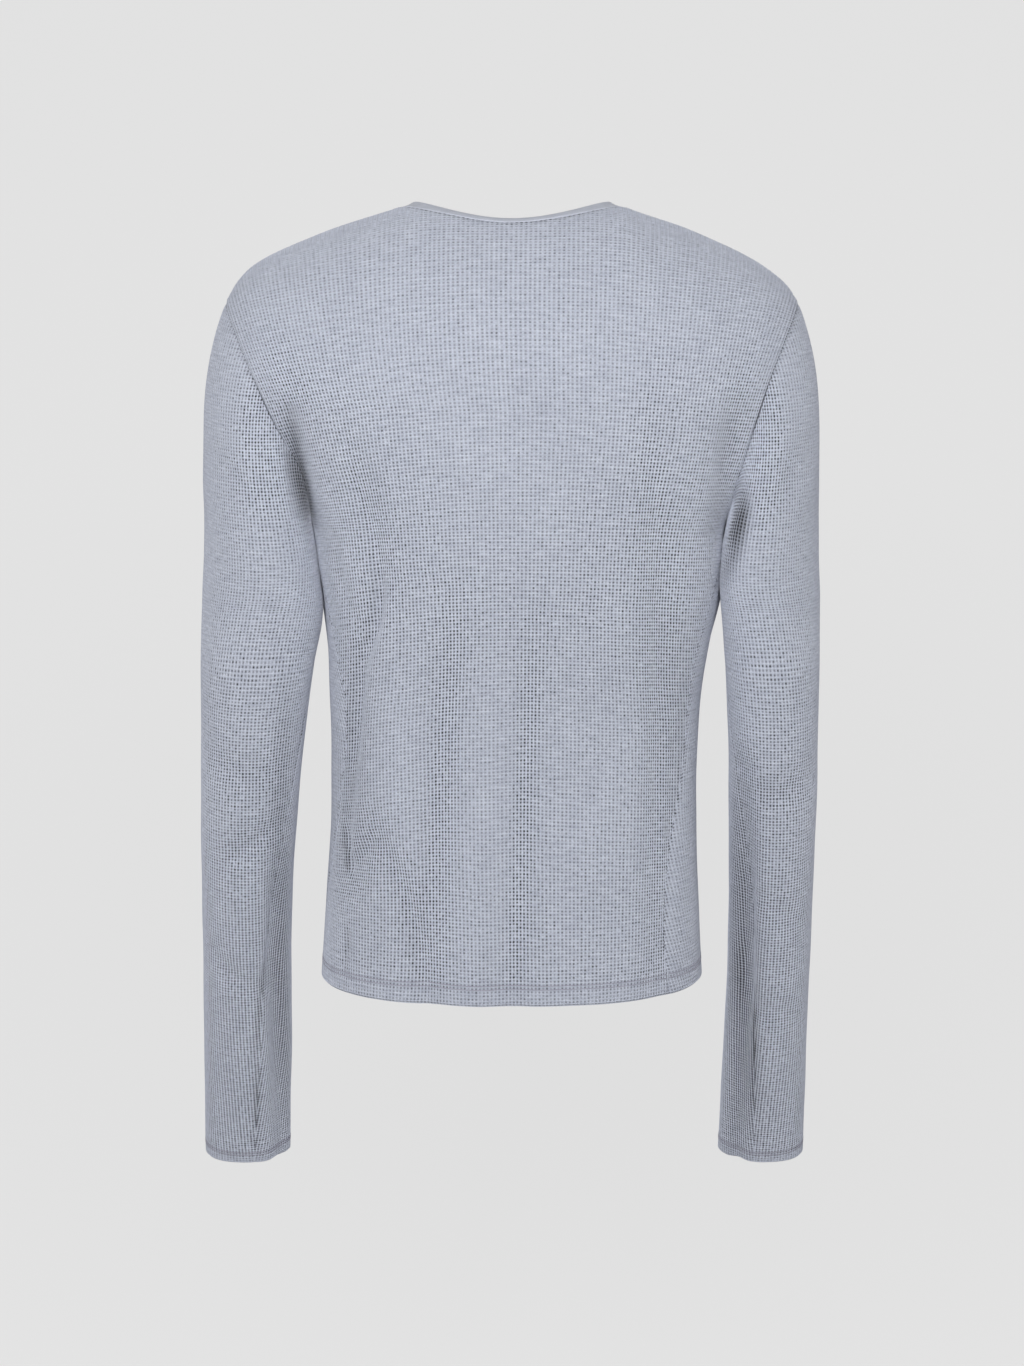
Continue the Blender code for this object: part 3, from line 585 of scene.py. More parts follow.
def sleeve_section(side, height, shares):
    columns = ("outer_" + side, "inner_" + side, "middle", "depth", "turn")
    outer, inner, middle, depth, turn = (read(SLEEVES, column, height) for column in columns)
    rise = read(SLEEVES, "middle", height + SMALL_STEP) - read(SLEEVES, "middle", height - SMALL_STEP)
    lean, swing = np.arctan(rise / (2 * SMALL_STEP)), np.radians(turn)
    width = np.sqrt(((outer - inner) / 2) ** 2 - (depth * np.sin(swing)) ** 2) / np.cos(swing)
    around = np.linspace(0, 2 * np.pi, SECTION_STEPS)
    inward = width * rounded(np.cos(around), SLEEVE_SQUARENESS)
    backward = depth * rounded(np.sin(around), SLEEVE_SQUARENESS)
    out = inward * np.cos(swing) + backward * np.sin(swing)
    fore = backward * np.cos(swing) - inward * np.sin(swing)
    line = np.stack([SIDES[side] * ((outer + inner) / 2 - out), middle + fore * np.cos(lean),
                     height - fore * np.sin(lean)], axis=1)
    return spaced(line, shares)


def tube_normals(points, facing):
    """Outward unit normals of a tube whose last column lies on its first."""
    ring = np.concatenate([points[:, -2:-1], points, points[:, 1:2]], axis=1)
    return facing * unit(np.cross(ring[:, 2:] - ring[:, :-2], np.gradient(points, axis=0)))


def armhole_line(side):
    """Up the back edge from the underarm, over the shoulder and down the front edge."""
    edge = -1 if side == "left" else 0
    sides = [forms[panel]["points"][forms[panel]["underarm"]:, edge] for panel in ("back", "front")]
    return np.concatenate([sides[0], sides[1][-2::-1]])


def sleeve_form(side):
    shares = np.linspace(0, 1, FORM_COLUMNS)
    heights = np.append(np.arange(CUFF + FOLD_RADIUS, UPPER_ARM - FORM_STEP / 2, FORM_STEP), UPPER_ARM)
    lower = np.array([sleeve_section(side, height, shares) for height in heights])
    loop = spaced(armhole_line(side), shares)
    leave = unit(lower[-1] - sleeve_section(side, UPPER_ARM - SMALL_STEP, shares))
    chord = np.linalg.norm(loop - lower[-1], axis=1, keepdims=True)
    overhead = (1 - np.cos(2 * np.pi * shares)) / 2
    inward = np.stack([-SIDES[side] * CAP_ROUND * overhead, 0 * overhead, 0 * overhead], axis=1)
    arrive = unit(unit(loop - lower[-1]) + inward)
    up = np.linspace(0, 1, CAP_STEPS)[:, None, None]
    cap = curve_between(lower[-1], loop, leave * chord, arrive * chord, up)
    points = np.concatenate([lower, cap[1:]])
    run = lengths_along(lower.mean(axis=1))
    pitch = read(SLEEVE_CELLS, "course", heights)
    level = np.concatenate([[0], np.cumsum(np.diff(run) / (pitch[1:] + pitch[:-1]) * 2)])
    above = level[-1] + lengths_along(cap)[1:] / pitch[-1]
    course = np.concatenate([np.repeat(level[:, None], FORM_COLUMNS, axis=1), above])
    end = course[-1]
    normals = tube_normals(points, -SIDES[side])
    depth = fold_depth(points, FOLDS[side]) + fold_depth(points, CREASES[side])
    depth *= np.clip(normals[:, :, 1] * FOLD_TURN, 0, 1)
    depth = (depth + settled(points, SLEEVE_SHIFT)) * eased((end - course) / FOLDS_END)
    girths = lengths_along(lower.swapaxes(0, 1))[-1] / read(SLEEVE_CELLS, "wale", heights)
    girths = np.append(girths, np.full(len(cap) - 1, girths[-1]))
    forms[side] = {"points": points - normals * depth[:, :, None], "course": course, "end": end, "tube": True,
                   "name": side, "crease_side": 1, "facing": -SIDES[side],
                   "seam_courses": level, "seam": read(SLEEVE_SEAM, "share", heights)}
    wide = np.linspace(-0.5, 1.5, 2 * FORM_COLUMNS - 1)
    keep_knit(forms[side], girths[:, None] * (wide - 0.5), wide)
    return forms[side]


for side in SIDES:
    form = sleeve_form(side)
    print(side, "sleeve has %d wales at the cuff, %d at the arm and %d courses" % (
        np.ptp(form["wale_rows"][0]) / 2, np.ptp(form["wale_rows"][-1]) / 2, form["end"].max()))

for form in forms.values():
    form["points"] = pressed_in(form["points"], -1 if form["tube"] else 1)


# %% [markdown]
# The next helper is the heart of the lesson. It takes places in the flat knit, as wales and
# courses, and gives their places on the form.

# %% From flat knit to form
def between(rows, row, column):
    """Read a table between its rows and columns."""
    row = np.clip(row, 0, rows.shape[0] - 1.001)
    column = np.clip(column, 0, rows.shape[1] - 1.001)
    low, left = row.astype(int), column.astype(int)
    up, right = row - low, column - left
    return ((1 - up) * ((1 - right) * rows[low, left] + right * rows[low, left + 1])
            + up * ((1 - right) * rows[low + 1, left] + right * rows[low + 1, left + 1]))


def share_of(form, wale, course):
    """How far across its piece a place in the knit lies, from 0 to 1."""
    return between(form["share_rows"], course, (wale - form["axis"][0]) / TABLE_STEP)


def wale_of(form, share, course):
    """Which wale lies at a share of the width."""
    shares = form["shares"]
    column = (share - shares[0]) / (shares[-1] - shares[0]) * (len(shares) - 1)
    return between(form["wale_rows"], course, column)


def up_column(form, column, course):
    rows = form["course"][:, column]
    below = np.clip((rows <= course).sum(axis=0) - 1, 0, len(rows) - 2)
    each = np.arange(len(column))
    low, high = rows[below, each], rows[below + 1, each]
    share = ((course - low) / (high - low))[:, None]
    return (1 - share) * form["points"][below, column] + share * form["points"][below + 1, column]


def on_form(form, wale, course):
    share = share_of(form, wale, course)
    share = share % 1 if form["tube"] else np.clip(share, 0, 1)
    column = share * (FORM_COLUMNS - 1)
    left = np.minimum(column.astype(int), FORM_COLUMNS - 2)
    part = (column - left)[:, None]
    return (1 - part) * up_column(form, left, course) + part * up_column(form, left + 1, course)


def facing_on_form(form, wale, course):
    """Which way the cloth faces, seen over a little more than a cell."""
    step = 0.7
    across = on_form(form, wale + step, course) - on_form(form, wale - step, course)
    up = on_form(form, wale, course + step) - on_form(form, wale, np.maximum(course - step, 0))
    return form["facing"] * unit(np.cross(across, up))


zero = np.zeros(1)
print("the middle of the back hem is at", on_form(forms["back"], zero, zero).round(4)[0])


# %% [markdown]
# A pattern piece is the outline of that knit: hem, side edges, armholes, shoulders and
# neckline. Its points carry the name of the edge they are on, because each seam is sewn in
# its own way.

# %% The outline of a pattern piece
TURNED_COURSES = 8  # knit turned up inside a hem or cuff
TOP_POINTS, HEM_POINTS, EDGE_STEP = 1600, 400, 0.35  # how closely the outline is drawn


def outline(form):
    """Points round the flat piece, as wales and courses, with the kind of edge each is on."""
    share = np.linspace(0, 1, TOP_POINTS)
    top = np.interp(share, np.linspace(0, 1, FORM_COLUMNS), form["end"])
    edges, kinds = [], []
    for side_share, end in ((0, form["end"][0]), (1, form["end"][-1])):
        steps = np.arange(-TURNED_COURSES, end, EDGE_STEP)
        seam = np.interp(steps, form["seam_courses"], form["seam"]) if form["tube"] else 0
        edges.append(np.stack([wale_of(form, side_share + seam, steps), steps], axis=1))
        above = math.inf if form["tube"] else form["course"][form["underarm"], -side_share]
        kinds.append(["armhole" if step > above else "seam" for step in steps])
    over = np.stack([wale_of(form, share, top), top], axis=1)
    over_kinds = ["neck" if abs(2 * place - 1) < NECK_SHARE else "shoulder" for place in share]
    if form["tube"]:
        over_kinds = ["armhole"] * len(share)
    hem = np.linspace(edges[1][0, 0], edges[0][0, 0], HEM_POINTS)[1:-1]
    under = np.stack([hem, 0 * hem - TURNED_COURSES], axis=1)
    places = np.concatenate([edges[0], over, edges[1][::-1], under])
    return places, np.array(kinds[0] + over_kinds + kinds[1][::-1] + ["hem"] * len(hem))


def inside(places, wale, course):
    """Whether points of the knit are inside the outline, by counting the lines crossed."""
    within = np.zeros(len(wale), bool)
    after = np.roll(places, -1, axis=0)
    for (wale_1, course_1), (wale_2, course_2) in zip(places, after):
        if course_1 != course_2:
            spans = (course_1 > course) != (course_2 > course)
            crossed = (wale_2 - wale_1) * (course - course_1) / (course_2 - course_1) + wale_1
            within ^= spans & (wale < crossed)
    return within


for name in forms:
    print(name, "outline has %d points" % len(outline(forms[name])[0]))

# %% [markdown]
# ## Cutting and dressing a piece
#
# Blender's grid primitive is the knit, one face to a cell. Faces outside the outline are
# deleted, the border is drawn onto the outline, and points that come too close are merged, as
# scissors would leave it. A UV map called knit keeps the wales and courses for the finishes.
# Then every point goes to its place on the form, dipping where the seams are sewn.

# %% Turned edges and seams
SEAM_WIDTH = 0.0016  # of the valley along a seam
SEAM_DEPTH = {"seam": 0.0005, "armhole": 0.0005, "shoulder": 0.0008, "neck": 0.0010, "hem": 0}
TOUCHING = (-0.285, 0.060)  # height and reach of where sleeve and body press together,
FLATTENED = 0.9  # and the share of a valley that is lost there
ARMHOLE_OPEN = (-0.215, -0.150)  # heights between which an armhole seam opens out flat
ARMHOLE_CLOSED = 0.0004  # how far its two cloths are pressed into each other below that
PRESSED_HEIGHT = 0.0004  # of the seam allowance that shows through beside the armhole
PRESSED_MIDDLE, PRESSED_REACH = 0.0050, 0.0032  # how far from the seam it is, and how far it reaches
STITCH_ROWS = (0.0133, 0.0163)  # heights of the needle rows above the hem
CUFF_STITCH_ROWS = (0.0103, 0.0127)
STITCH_DIP, STITCH_DIP_WIDTH = 0.00030, 0.0011
CELL = 0.0031  # mean size of a cell, to turn cells into metres
SLIVER = 0.3  # in cells; points of a cut border closer than this are merged


def edge_distances(places, kinds, wale, course):
    """How far each point is from the outline, in metres, and the kind of edge that is nearest."""
    tree = KDTree(len(places))
    for number, (x, y) in enumerate(places):
        tree.insert((x, y, 0), number)
    tree.balance()
    found = [tree.find((x, y, 0)) for x, y in zip(wale, course)]
    return CELL * np.array([each[2] for each in found]), kinds[[each[1] for each in found]]


def stitch_rows(form):
    return CUFF_STITCH_ROWS if form["tube"] else STITCH_ROWS


def edge_course(form):
    """The height of a course at the turned edge."""
    return SLEEVE_CELLS["course"][0] if form["tube"] else COURSE


def row_course(form, row):
    """The course that a height above the turned edge lies on."""
    return (row - FOLD_RADIUS) / edge_course(form)


def dressed(form, wale, course, away, kind):
    """The places of the knit's points on the form, with its seams and turned edge."""
    step = edge_course(form)
    past = np.maximum(-course, 0) * step
    bend = np.minimum(past / FOLD_RADIUS, np.pi)
    back_up = np.maximum(past - np.pi * FOLD_RADIUS, 0) / step
    upright = np.maximum(np.maximum(course, 0), back_up)
    place, normal = on_form(form, wale, upright), facing_on_form(form, wale, upright)
    height, valley, armhole = place[:, 2], np.exp(-(away / SEAM_WIDTH) ** 2), kind == "armhole"
    dip = np.array([SEAM_DEPTH[each] for each in kind]) * valley
    dip *= 1 - FLATTENED * np.exp(-((height - TOUCHING[0]) / TOUCHING[1]) ** 4)
    opened = eased((height - ARMHOLE_OPEN[0]) / (ARMHOLE_OPEN[1] - ARMHOLE_OPEN[0]))
    dip -= (1 - opened) * (ARMHOLE_CLOSED * valley + dip) * armhole
    allowance = armhole & (not form["tube"])  # it lies on the side of the body
    pressed = PRESSED_HEIGHT * np.exp(-((away - PRESSED_MIDDLE) / PRESSED_REACH) ** 4) * allowance
    for row in stitch_rows(form):
        dip += STITCH_DIP * np.exp(-((course - row_course(form, row)) * step / STITCH_DIP_WIDTH) ** 2)
    place = place + normal * (pressed - dip)[:, None]
    edge = np.zeros(len(course))
    down = unit(on_form(form, wale, edge) - on_form(form, wale, edge + 1.5))
    turned = normal * (np.cos(bend) - 1)[:, None] + down * (np.sin(bend) * (back_up == 0))[:, None]
    return place + FOLD_RADIUS * turned


print("rows of stitching above the hem: %.1f and %.1f mm" % tuple(1000 * row for row in STITCH_ROWS))


# %% Selecting, editing and the grid
def activate(piece):
    for thing in bpy.context.view_layer.objects:
        thing.select_set(False)
    piece.select_set(True)
    bpy.context.view_layer.objects.active = piece


def edit(piece, operator, **settings):
    """Run one operator on a piece in edit mode."""
    activate(piece)
    bpy.ops.object.mode_set(mode="EDIT")
    operator(**settings)
    bpy.ops.object.mode_set(mode="OBJECT")


def numbers(items, what, kind, wide=1):
    """Read a value of every vertex, edge, corner or face, or a row of values when it is wide."""
    values = np.empty(len(items) * wide, kind)
    items.foreach_get(what, values)
    return values if wide == 1 else values.reshape(-1, wide)


def coordinates(mesh):
    return numbers(mesh.vertices, "co", np.float32, 3).astype(float)


def put(mesh, places):
    mesh.vertices.foreach_set("co", places.reshape(-1))


def knit_grid(name, low, high):
    """A grid of cells between two corners given in wales and courses."""
    size = np.append(high - low, 0)
    bpy.ops.mesh.primitive_grid_add(x_subdivisions=size[0], y_subdivisions=size[1], size=1)
    piece = bpy.context.active_object
    piece.name = piece.data.name = name
    put(piece.data, (coordinates(piece.data) + (0.5, 0.5, 0)) * size + np.append(low, 0))
    return piece


def select_faces(mesh, chosen):
    mesh.polygons.foreach_set("select", np.asarray(chosen, bool))
    mesh.edges.foreach_set("select", np.zeros(len(mesh.edges), bool))
    mesh.vertices.foreach_set("select", np.zeros(len(mesh.vertices), bool))


def border_of(mesh):
    """The vertices on the open border of a mesh: the ends of edges that only one face uses."""
    used = np.bincount(numbers(mesh.loops, "edge_index", np.int32), minlength=len(mesh.edges))
    return np.unique(numbers(mesh.edges, "vertices", np.int32, 2)[used == 1])


def cut_out(piece, places):
    """Delete the cells outside the outline, and draw the border onto it."""
    mesh = piece.data
    centres = numbers(mesh.polygons, "center", np.float32, 3).astype(float)
    edit(piece, bpy.ops.mesh.select_mode, type="FACE")
    select_faces(mesh, ~inside(places, centres[:, 0], centres[:, 1]))
    edit(piece, bpy.ops.mesh.delete, type="FACE")
    flat = coordinates(mesh)
    border = border_of(mesh)
    run = np.roll(places, -1, axis=0) - places
    length = np.maximum((run ** 2).sum(axis=1), 1e-12)
    for number in border:
        away = flat[number, :2] - places
        share = np.clip((away * run).sum(axis=1) / length, 0, 1)
        nearest = places + share[:, None] * run
        flat[number, :2] = nearest[np.argmin(((flat[number, :2] - nearest) ** 2).sum(axis=1))]
    put(mesh, flat)
    edit(piece, bpy.ops.mesh.select_mode, type="VERT")
    mesh.vertices.foreach_set("select", np.isin(np.arange(len(flat)), border))
    edit(piece, bpy.ops.mesh.remove_doubles, threshold=SLIVER)


# %% [markdown]
# The knit has real thickness, so the dressed sheet gets a Solidify. Its cells are then sunk
# with Poke Faces, which puts a point in the middle of each outer face and pushes it in: four
# small slopes round a pit, with the ribs left standing between the pits. A bump map would
# look alike from afar, but the pits would vanish at the edges and from the mesh itself.
#
# Two values for each point go into a second map. One says how slack the knit is, because
# slack cells are deep and stretched ones are flat, and the finish paints deeper shade into
# their pits. The other says how much darker the cloth is painted: shade in folds and creases,
# and a darker line along the seams.

# %% Thickness, cells and shade
KNIT_THICKNESS = 0.0014
PIT_DEPTH = 0.0008
FOLD_SHADE = 13  # painted shade of a broad fold, per metre of its depth
SEAM_SHADE = {"seam": 0.04, "armhole": 0.12, "shoulder": 0.08, "neck": 0.55, "hem": 0}
SEAM_SHADE_WIDTH = 0.0021
# the most painted shade that folds and creases give
DARKEST_SHADE = 0.85
CLOSE_PITCH, OPEN_PITCH = 0.0027, 0.0034  # of the wales, where the cloth is slack and where stretched
SLACK_AT_HEM = 0.3  # share of the slack, and so of the painted pit shade, that is left at a turned edge
SLEEVE_JOIN = 0.0002  # points closer than this are joined along the sleeve's seam


def apply_modifier(piece, kind, **settings):
    modifier = piece.modifiers.new(kind.title(), kind)
    for name, value in settings.items():
        setattr(modifier, name, value)
    activate(piece)
    bpy.ops.object.modifier_apply(modifier=modifier.name)


def add_knit_maps(piece, slack, shade):
    """The first map counts wales and courses; the second has the slack and the painted shade."""
    for old in list(piece.data.uv_layers):
        piece.data.uv_layers.remove(old)
    corners = numbers(piece.data.loops, "vertex_index", np.int32)
    for name, flat in (("knit", coordinates(piece.data)[:, :2]), ("slack", np.stack([slack, shade], axis=1))):
        layer = piece.data.uv_layers.new(name=name)
        layer.data.foreach_set("uv", flat[corners].astype(np.float32).reshape(-1))


def slackness(form, wale, course):
    """1 where the wales lie close together and their cells are deep, 0 where they are stretched flat."""
    upright = np.maximum(course, 0)
    pitch = np.linalg.norm(on_form(form, wale + 0.5, upright) - on_form(form, wale - 0.5, upright), axis=1)
    above_hem = SLACK_AT_HEM + (1 - SLACK_AT_HEM) * eased(course / TURNED_COURSES)
    return above_hem * np.clip((OPEN_PITCH - pitch) / (OPEN_PITCH - CLOSE_PITCH), 0, 1)


def painted_shade_in_folds(form, wale, course):
    """Painted shade at each point, from folds, creases and the folds under the arms, as a share."""
    upright = np.maximum(course, 0)
    place = on_form(form, wale, upright)[None]
    outward = facing_on_form(form, wale, upright)[:, 1] * form["crease_side"]
    creased = fold_depth(place, CREASES[form["name"]], "shade")[0]
    folded = fold_depth(place, FOLDS[form["name"]])[0]
    pressed = fold_depth(place, PRESSED_IN, "shade")[0]
    pressed *= eased(place[0, :, 1] / PRESSED_FROM + PRESSED_SHADE_AHEAD)
    shade = np.clip(outward * FOLD_TURN, 0, 1) * (creased + FOLD_SHADE * folded) + pressed
    return np.clip(shade, 0, DARKEST_SHADE)


def thicken_and_sink(piece):
    mesh = piece.data
    outer_faces = len(mesh.polygons)
    apply_modifier(piece, "SOLIDIFY", thickness=KNIT_THICKNESS, offset=-1)
    edit(piece, bpy.ops.mesh.select_mode, type="FACE")
    select_faces(mesh, np.arange(len(mesh.polygons)) < outer_faces)
    edit(piece, bpy.ops.mesh.poke, offset=-PIT_DEPTH, use_relative_offset=False,
         center_mode="MEDIAN_WEIGHTED")
    mesh.polygons.foreach_set("use_smooth", ~numbers(mesh.polygons, "select", bool))


def knit_piece(name, form):
    """Knit, cut, dress and finish one piece of the top."""
    places, kinds = outline(form)
    low, high = np.floor(places.min(axis=0)).astype(int), np.ceil(places.max(axis=0)).astype(int)
    piece = knit_grid(name, low, high)
    cut_out(piece, places)
    flat = coordinates(piece.data)
    wale, course = flat[:, 0], flat[:, 1]
    away, kind = edge_distances(places, kinds, wale, course)
    sewn = np.array([SEAM_SHADE[each] for each in kind]) * np.exp(-(away / SEAM_SHADE_WIDTH) ** 2)
    add_knit_maps(piece, slackness(form, wale, course), np.maximum(painted_shade_in_folds(form, wale, course), sewn))
    put(piece.data, dressed(form, wale, course, away, kind))
    edit(piece, bpy.ops.mesh.select_all, action="SELECT")
    if form["facing"] < 0:
        edit(piece, bpy.ops.mesh.flip_normals)
    if form["tube"]:
        edit(piece, bpy.ops.mesh.remove_doubles, threshold=SLEEVE_JOIN)
    thicken_and_sink(piece)
    triangles = sum(len(face.vertices) - 2 for face in piece.data.polygons)
    print(name, "has %d points of knit and %d triangles" % (len(flat), triangles))
    return piece


# %% Knit the four pieces
pieces = {}
for name, form_name in (("back_knit", "back"), ("front_knit", "front"),
                        ("left_sleeve_knit", "left"), ("right_sleeve_knit", "right")):
    pieces[name] = knit_piece(name, forms[form_name])

# %% [markdown]
# ## The neckband
#
# The band is a strip of plain knit, folded double and sewn round the neck. It is stretched a
# little, so it stands up at the sides and leans inward at the back of the neck. Its section
# is a flat loop, carried round the neck: up the outside, over the soft fold and down inside.

# %% Neckband
BAND_THICKNESS, BAND_CLOTH = 0.0022, 0.0009  # of both layers with the air between, and of one
BAND_AROUND = 220  # steps for each half of the neck
BAND_UP, BAND_OVER = 7, 7  # rows up each layer and over the fold
BAND_INSIDE = 0.0006  # how far the band starts inside the cloth of the panels
BAND_JOIN = 0.00002  # points closer than this are joined where the strip closes
FACING_REACH, TANGENT_REACH, CURL_REACH = 5, 2, 9  # steps each way that they are smoothed over
ABOVE_NECK = (0, 0, 0.1)  # the band rises toward this point


def band_section():
    """From the seam up the outside, over the fold and down inside: how far up, and how deep."""
    radius = (BAND_THICKNESS - BAND_CLOTH) / 2
    straight = 1 - radius / BAND_WIDTH
    up = [(straight * step / BAND_UP, 0.0) for step in range(BAND_UP)]
    turns = [math.pi * step / BAND_OVER for step in range(BAND_OVER + 1)]
    over = [(straight + (1 - straight) * math.sin(turn), radius * (1 - math.cos(turn))) for turn in turns]
    return up + over + [(share, 2 * radius) for share, _ in reversed(up)]


def neck_seam(panel):
    """The neckline of a panel from right to left, and the way the cloth faces there."""
    across = np.linspace(-NECK_SHARE, NECK_SHARE, BAND_AROUND + 1)
    across = NECK_SHARE * np.sin(across / NECK_SHARE * np.pi / 2)
    above = yoke(panel, across)
    way = 1 if panel == "front" else -1
    facing = way * unit(np.cross(np.gradient(above, axis=1), np.gradient(above, axis=0)))
    steps = range(len(above))
    ends = [neck_end(above[:, column], panel) for column in range(len(across))]
    read_at = [[np.interp(end, steps, values[:, column, axis]) for axis in range(3)]
               for values in (above, facing) for column, end in enumerate(ends)]
    return np.array(read_at).reshape(2, len(across), 3)


def around_mean(values, reach):
    """Smooth values round a closed ring."""
    ring = np.concatenate([values[-reach:], values, values[:reach]])
    return np.mean([ring[shift:shift + len(values)] for shift in range(2 * reach + 1)], axis=0)


def band_points():
    """The strip's rows of points, from the seam over the fold to the seam again, and its neck seam."""
    (back, back_facing), (front, front_facing) = neck_seam("back"), neck_seam("front")
    seam = np.concatenate([back, front[-2:0:-1]])
    normals = unit(around_mean(np.concatenate([back_facing, front_facing[-2:0:-1]]), FACING_REACH))
    tangent = around_mean(unit(np.roll(seam, -1, axis=0) - np.roll(seam, 1, axis=0)), TANGENT_REACH)
    rise = unit(np.cross(normals, tangent))
    rise *= np.sign(np.sum(rise * (ABOVE_NECK - seam), axis=1, keepdims=True))
    beside = np.clip(np.abs(seam[:, 0:1]) / NECK_HALF_WIDTH, 0, 1) ** 3
    curl = np.where(seam[:, 1:2] > 0, BAND_CURL_BACK, BAND_CURL_FRONT)
    curl = curl * (1 - beside) + BAND_CURL_SIDE * beside
    tip = unit(rise + around_mean(curl, CURL_REACH) * np.array([0, 0, 1]))
    edge = seam + BAND_WIDTH * unit(rise + tip)
    rows = []
    for share, depth in band_section():
        outer = curve_between(seam, edge, rise * BAND_WIDTH, tip * BAND_WIDTH, share)
        out = unit(np.cross(unit(rise + (tip - rise) * share), tangent))
        out *= np.sign(np.sum(out * normals, axis=1, keepdims=True))
        rows.append(outer - out * depth - BAND_INSIDE * normals)
    points = np.array(rows)
    return np.concatenate([points, points[:, :1]], axis=1), seam, normals


def neckband():
    points, seam, normals = band_points()
    rows, columns = points.shape[:2]
    along = lengths_along(np.append(seam, seam[:1], axis=0))
    width = lengths_along(points[:, 0])
    piece = knit_grid("neckband_knit", np.zeros(2, int), np.array([columns - 1, rows - 1]))
    level = np.zeros(rows * columns)
    put(piece.data, np.stack([np.tile(along, rows), np.repeat(width, columns), level], axis=1))
    add_knit_maps(piece, level, level)
    put(piece.data, points)
    edit(piece, bpy.ops.mesh.select_all, action="SELECT")
    edit(piece, bpy.ops.mesh.remove_doubles, threshold=BAND_JOIN)
    faces_out = np.sum(np.array(piece.data.polygons[0].normal) * normals[0]) > 0
    apply_modifier(piece, "SOLIDIFY", thickness=BAND_CLOTH, offset=-1 if faces_out else 1)
    edit(piece, bpy.ops.mesh.select_all, action="SELECT")
    edit(piece, bpy.ops.mesh.normals_make_consistent, inside=False)
    piece.data.shade_smooth()
    print("the neckband is %.0f mm round" % (1000 * along[-1]))
    return piece


pieces["neckband_knit"] = neckband()

# %% [markdown]
# ## Twin-needle stitching
#
# Hem and cuffs are held up by two rows of stitching, sewn by two needles side by side. Each
# row is one thread that lies on the cloth for a stitch and dives through it between
# stitches. A tube along such a path shows the dashes and casts their small shadows, which a
# printed line doesn't.

# %% Stitching
STITCH_LENGTH, THREAD_RADIUS = 0.0029, 0.00030
# one stitch: share of its length and height in thread radii, diving through the cloth at its start
STITCH_SHAPE = ((0.0, -0.9), (0.12, 0.35), (0.32, 0.75), (0.66, 0.75), (0.86, 0.35))
STITCH_SUNK = 0.9  # share of the stitching's dip that the thread lies in
PATH_STEPS = 1500  # places along a row that its length is measured with


def stitched_line(name, form, row):
    """A row of stitches along a turned edge."""
    course = row_course(form, row)
    seam = np.interp(course, form["seam_courses"], form["seam"]) if form["tube"] else 0
    start, end = wale_of(form, np.array([seam, seam + 1]), np.array([course, course]))
    fine = np.linspace(start, end, PATH_STEPS)
    length = lengths_along(on_form(form, fine, np.full(len(fine), course)))
    count = int(length[-1] / STITCH_LENGTH)
    shares = np.array([(number + share) / count for number in range(count) for share, _ in STITCH_SHAPE])
    lift = np.tile([height for _, height in STITCH_SHAPE], count) * THREAD_RADIUS
    wale = np.interp(shares * length[-1], length, fine)
    courses = np.full(len(wale), course)
    lift = (lift - STITCH_DIP * STITCH_SUNK)[:, None]
    points = on_form(form, wale, courses) + facing_on_form(form, wale, courses) * lift
    thread = bpy.data.curves.new(name, "CURVE")
    thread.dimensions = "3D"
    thread.bevel_depth, thread.bevel_resolution, thread.use_fill_caps = THREAD_RADIUS, 1, True
    spline = thread.splines.new("POLY")
    spline.points.add(len(points) - 1)
    spline.points.foreach_set("co", np.append(points, np.ones((len(points), 1)), axis=1).reshape(-1))
    line = bpy.data.objects.new(name, thread)
    bpy.context.scene.collection.objects.link(line)
    activate(line)
    bpy.ops.object.convert(target="MESH")
    line = bpy.context.active_object
    line.data.shade_smooth()
    return line


threads = {}
for name, form_name in (("back", "back"), ("front", "front"), ("left_cuff", "left"), ("right_cuff", "right")):
    for number, row in enumerate(stitch_rows(forms[form_name]), 1):
        thread_name = "%s_stitches_%d" % (name, number)
        threads[thread_name] = stitched_line(thread_name, forms[form_name], row)
    print(name, "stitches:", len(threads[thread_name].data.vertices), "points in a row")

# %% [markdown]
# ## Finishes
#
# Heather yarn is spun from light and dark fibres, so its colour changes every millimetre or
# so, more along a course than across it. All finishes share that effect, so it is one node
# group. A second group knows the cells: it reads the knit map and says how deep in a cell a
# place lies, which the finish uses to paint shade into the pits and to round the ribs.

# %% Node helpers
def node_group(name, inputs, outputs):
    """An empty shader group; inputs and outputs are names with the kind of socket and its value."""
    group = bpy.data.node_groups.new(name, "ShaderNodeTree")
    for direction, sockets in (("INPUT", inputs), ("OUTPUT", outputs)):
        for socket_name, kind, *value in sockets:
            kind = "NodeSocket" + kind
            socket = group.interface.new_socket(socket_name, in_out=direction, socket_type=kind)
            if value:
                socket.default_value = value[0]
    return group, group.nodes.new("NodeGroupInput"), group.nodes.new("NodeGroupOutput")


def plug(tree, sockets, values):
    """Link each named or numbered socket to another one, or give it a plain value."""
    for name, value in values.items():
        if isinstance(value, bpy.types.NodeSocket):
            tree.links.new(value, sockets[name])
        else:
            sockets[name].default_value = value


def add_node(tree, kind, inputs, **settings):
    node = tree.nodes.new("ShaderNode" + kind)
    for name, value in settings.items():
        setattr(node, name, value)
    plug(tree, node.inputs, inputs)
    return node


def math_node(tree, operation, *values):
    return add_node(tree, "Math", dict(enumerate(values)), operation=operation).outputs[0]


def noise(tree, vector, scale, detail, stretch=(1, 1, 1)):
    stretched = add_node(tree, "Mapping", {"Vector": vector, "Scale": stretch}).outputs["Vector"]
    inputs = {"Vector": stretched, "Scale": scale, "Detail": detail}
    return add_node(tree, "TexNoise", inputs).outputs["Fac"]


def mix_colour(tree, blend, share, first, second):
    inputs = {0: share, 6: first, 7: second}  # the sockets of a colour mix
    return add_node(tree, "Mix", inputs, data_type="RGBA", blend_type=blend).outputs[2]


def separate(tree, vector):
    return add_node(tree, "SeparateXYZ", {0: vector}).outputs


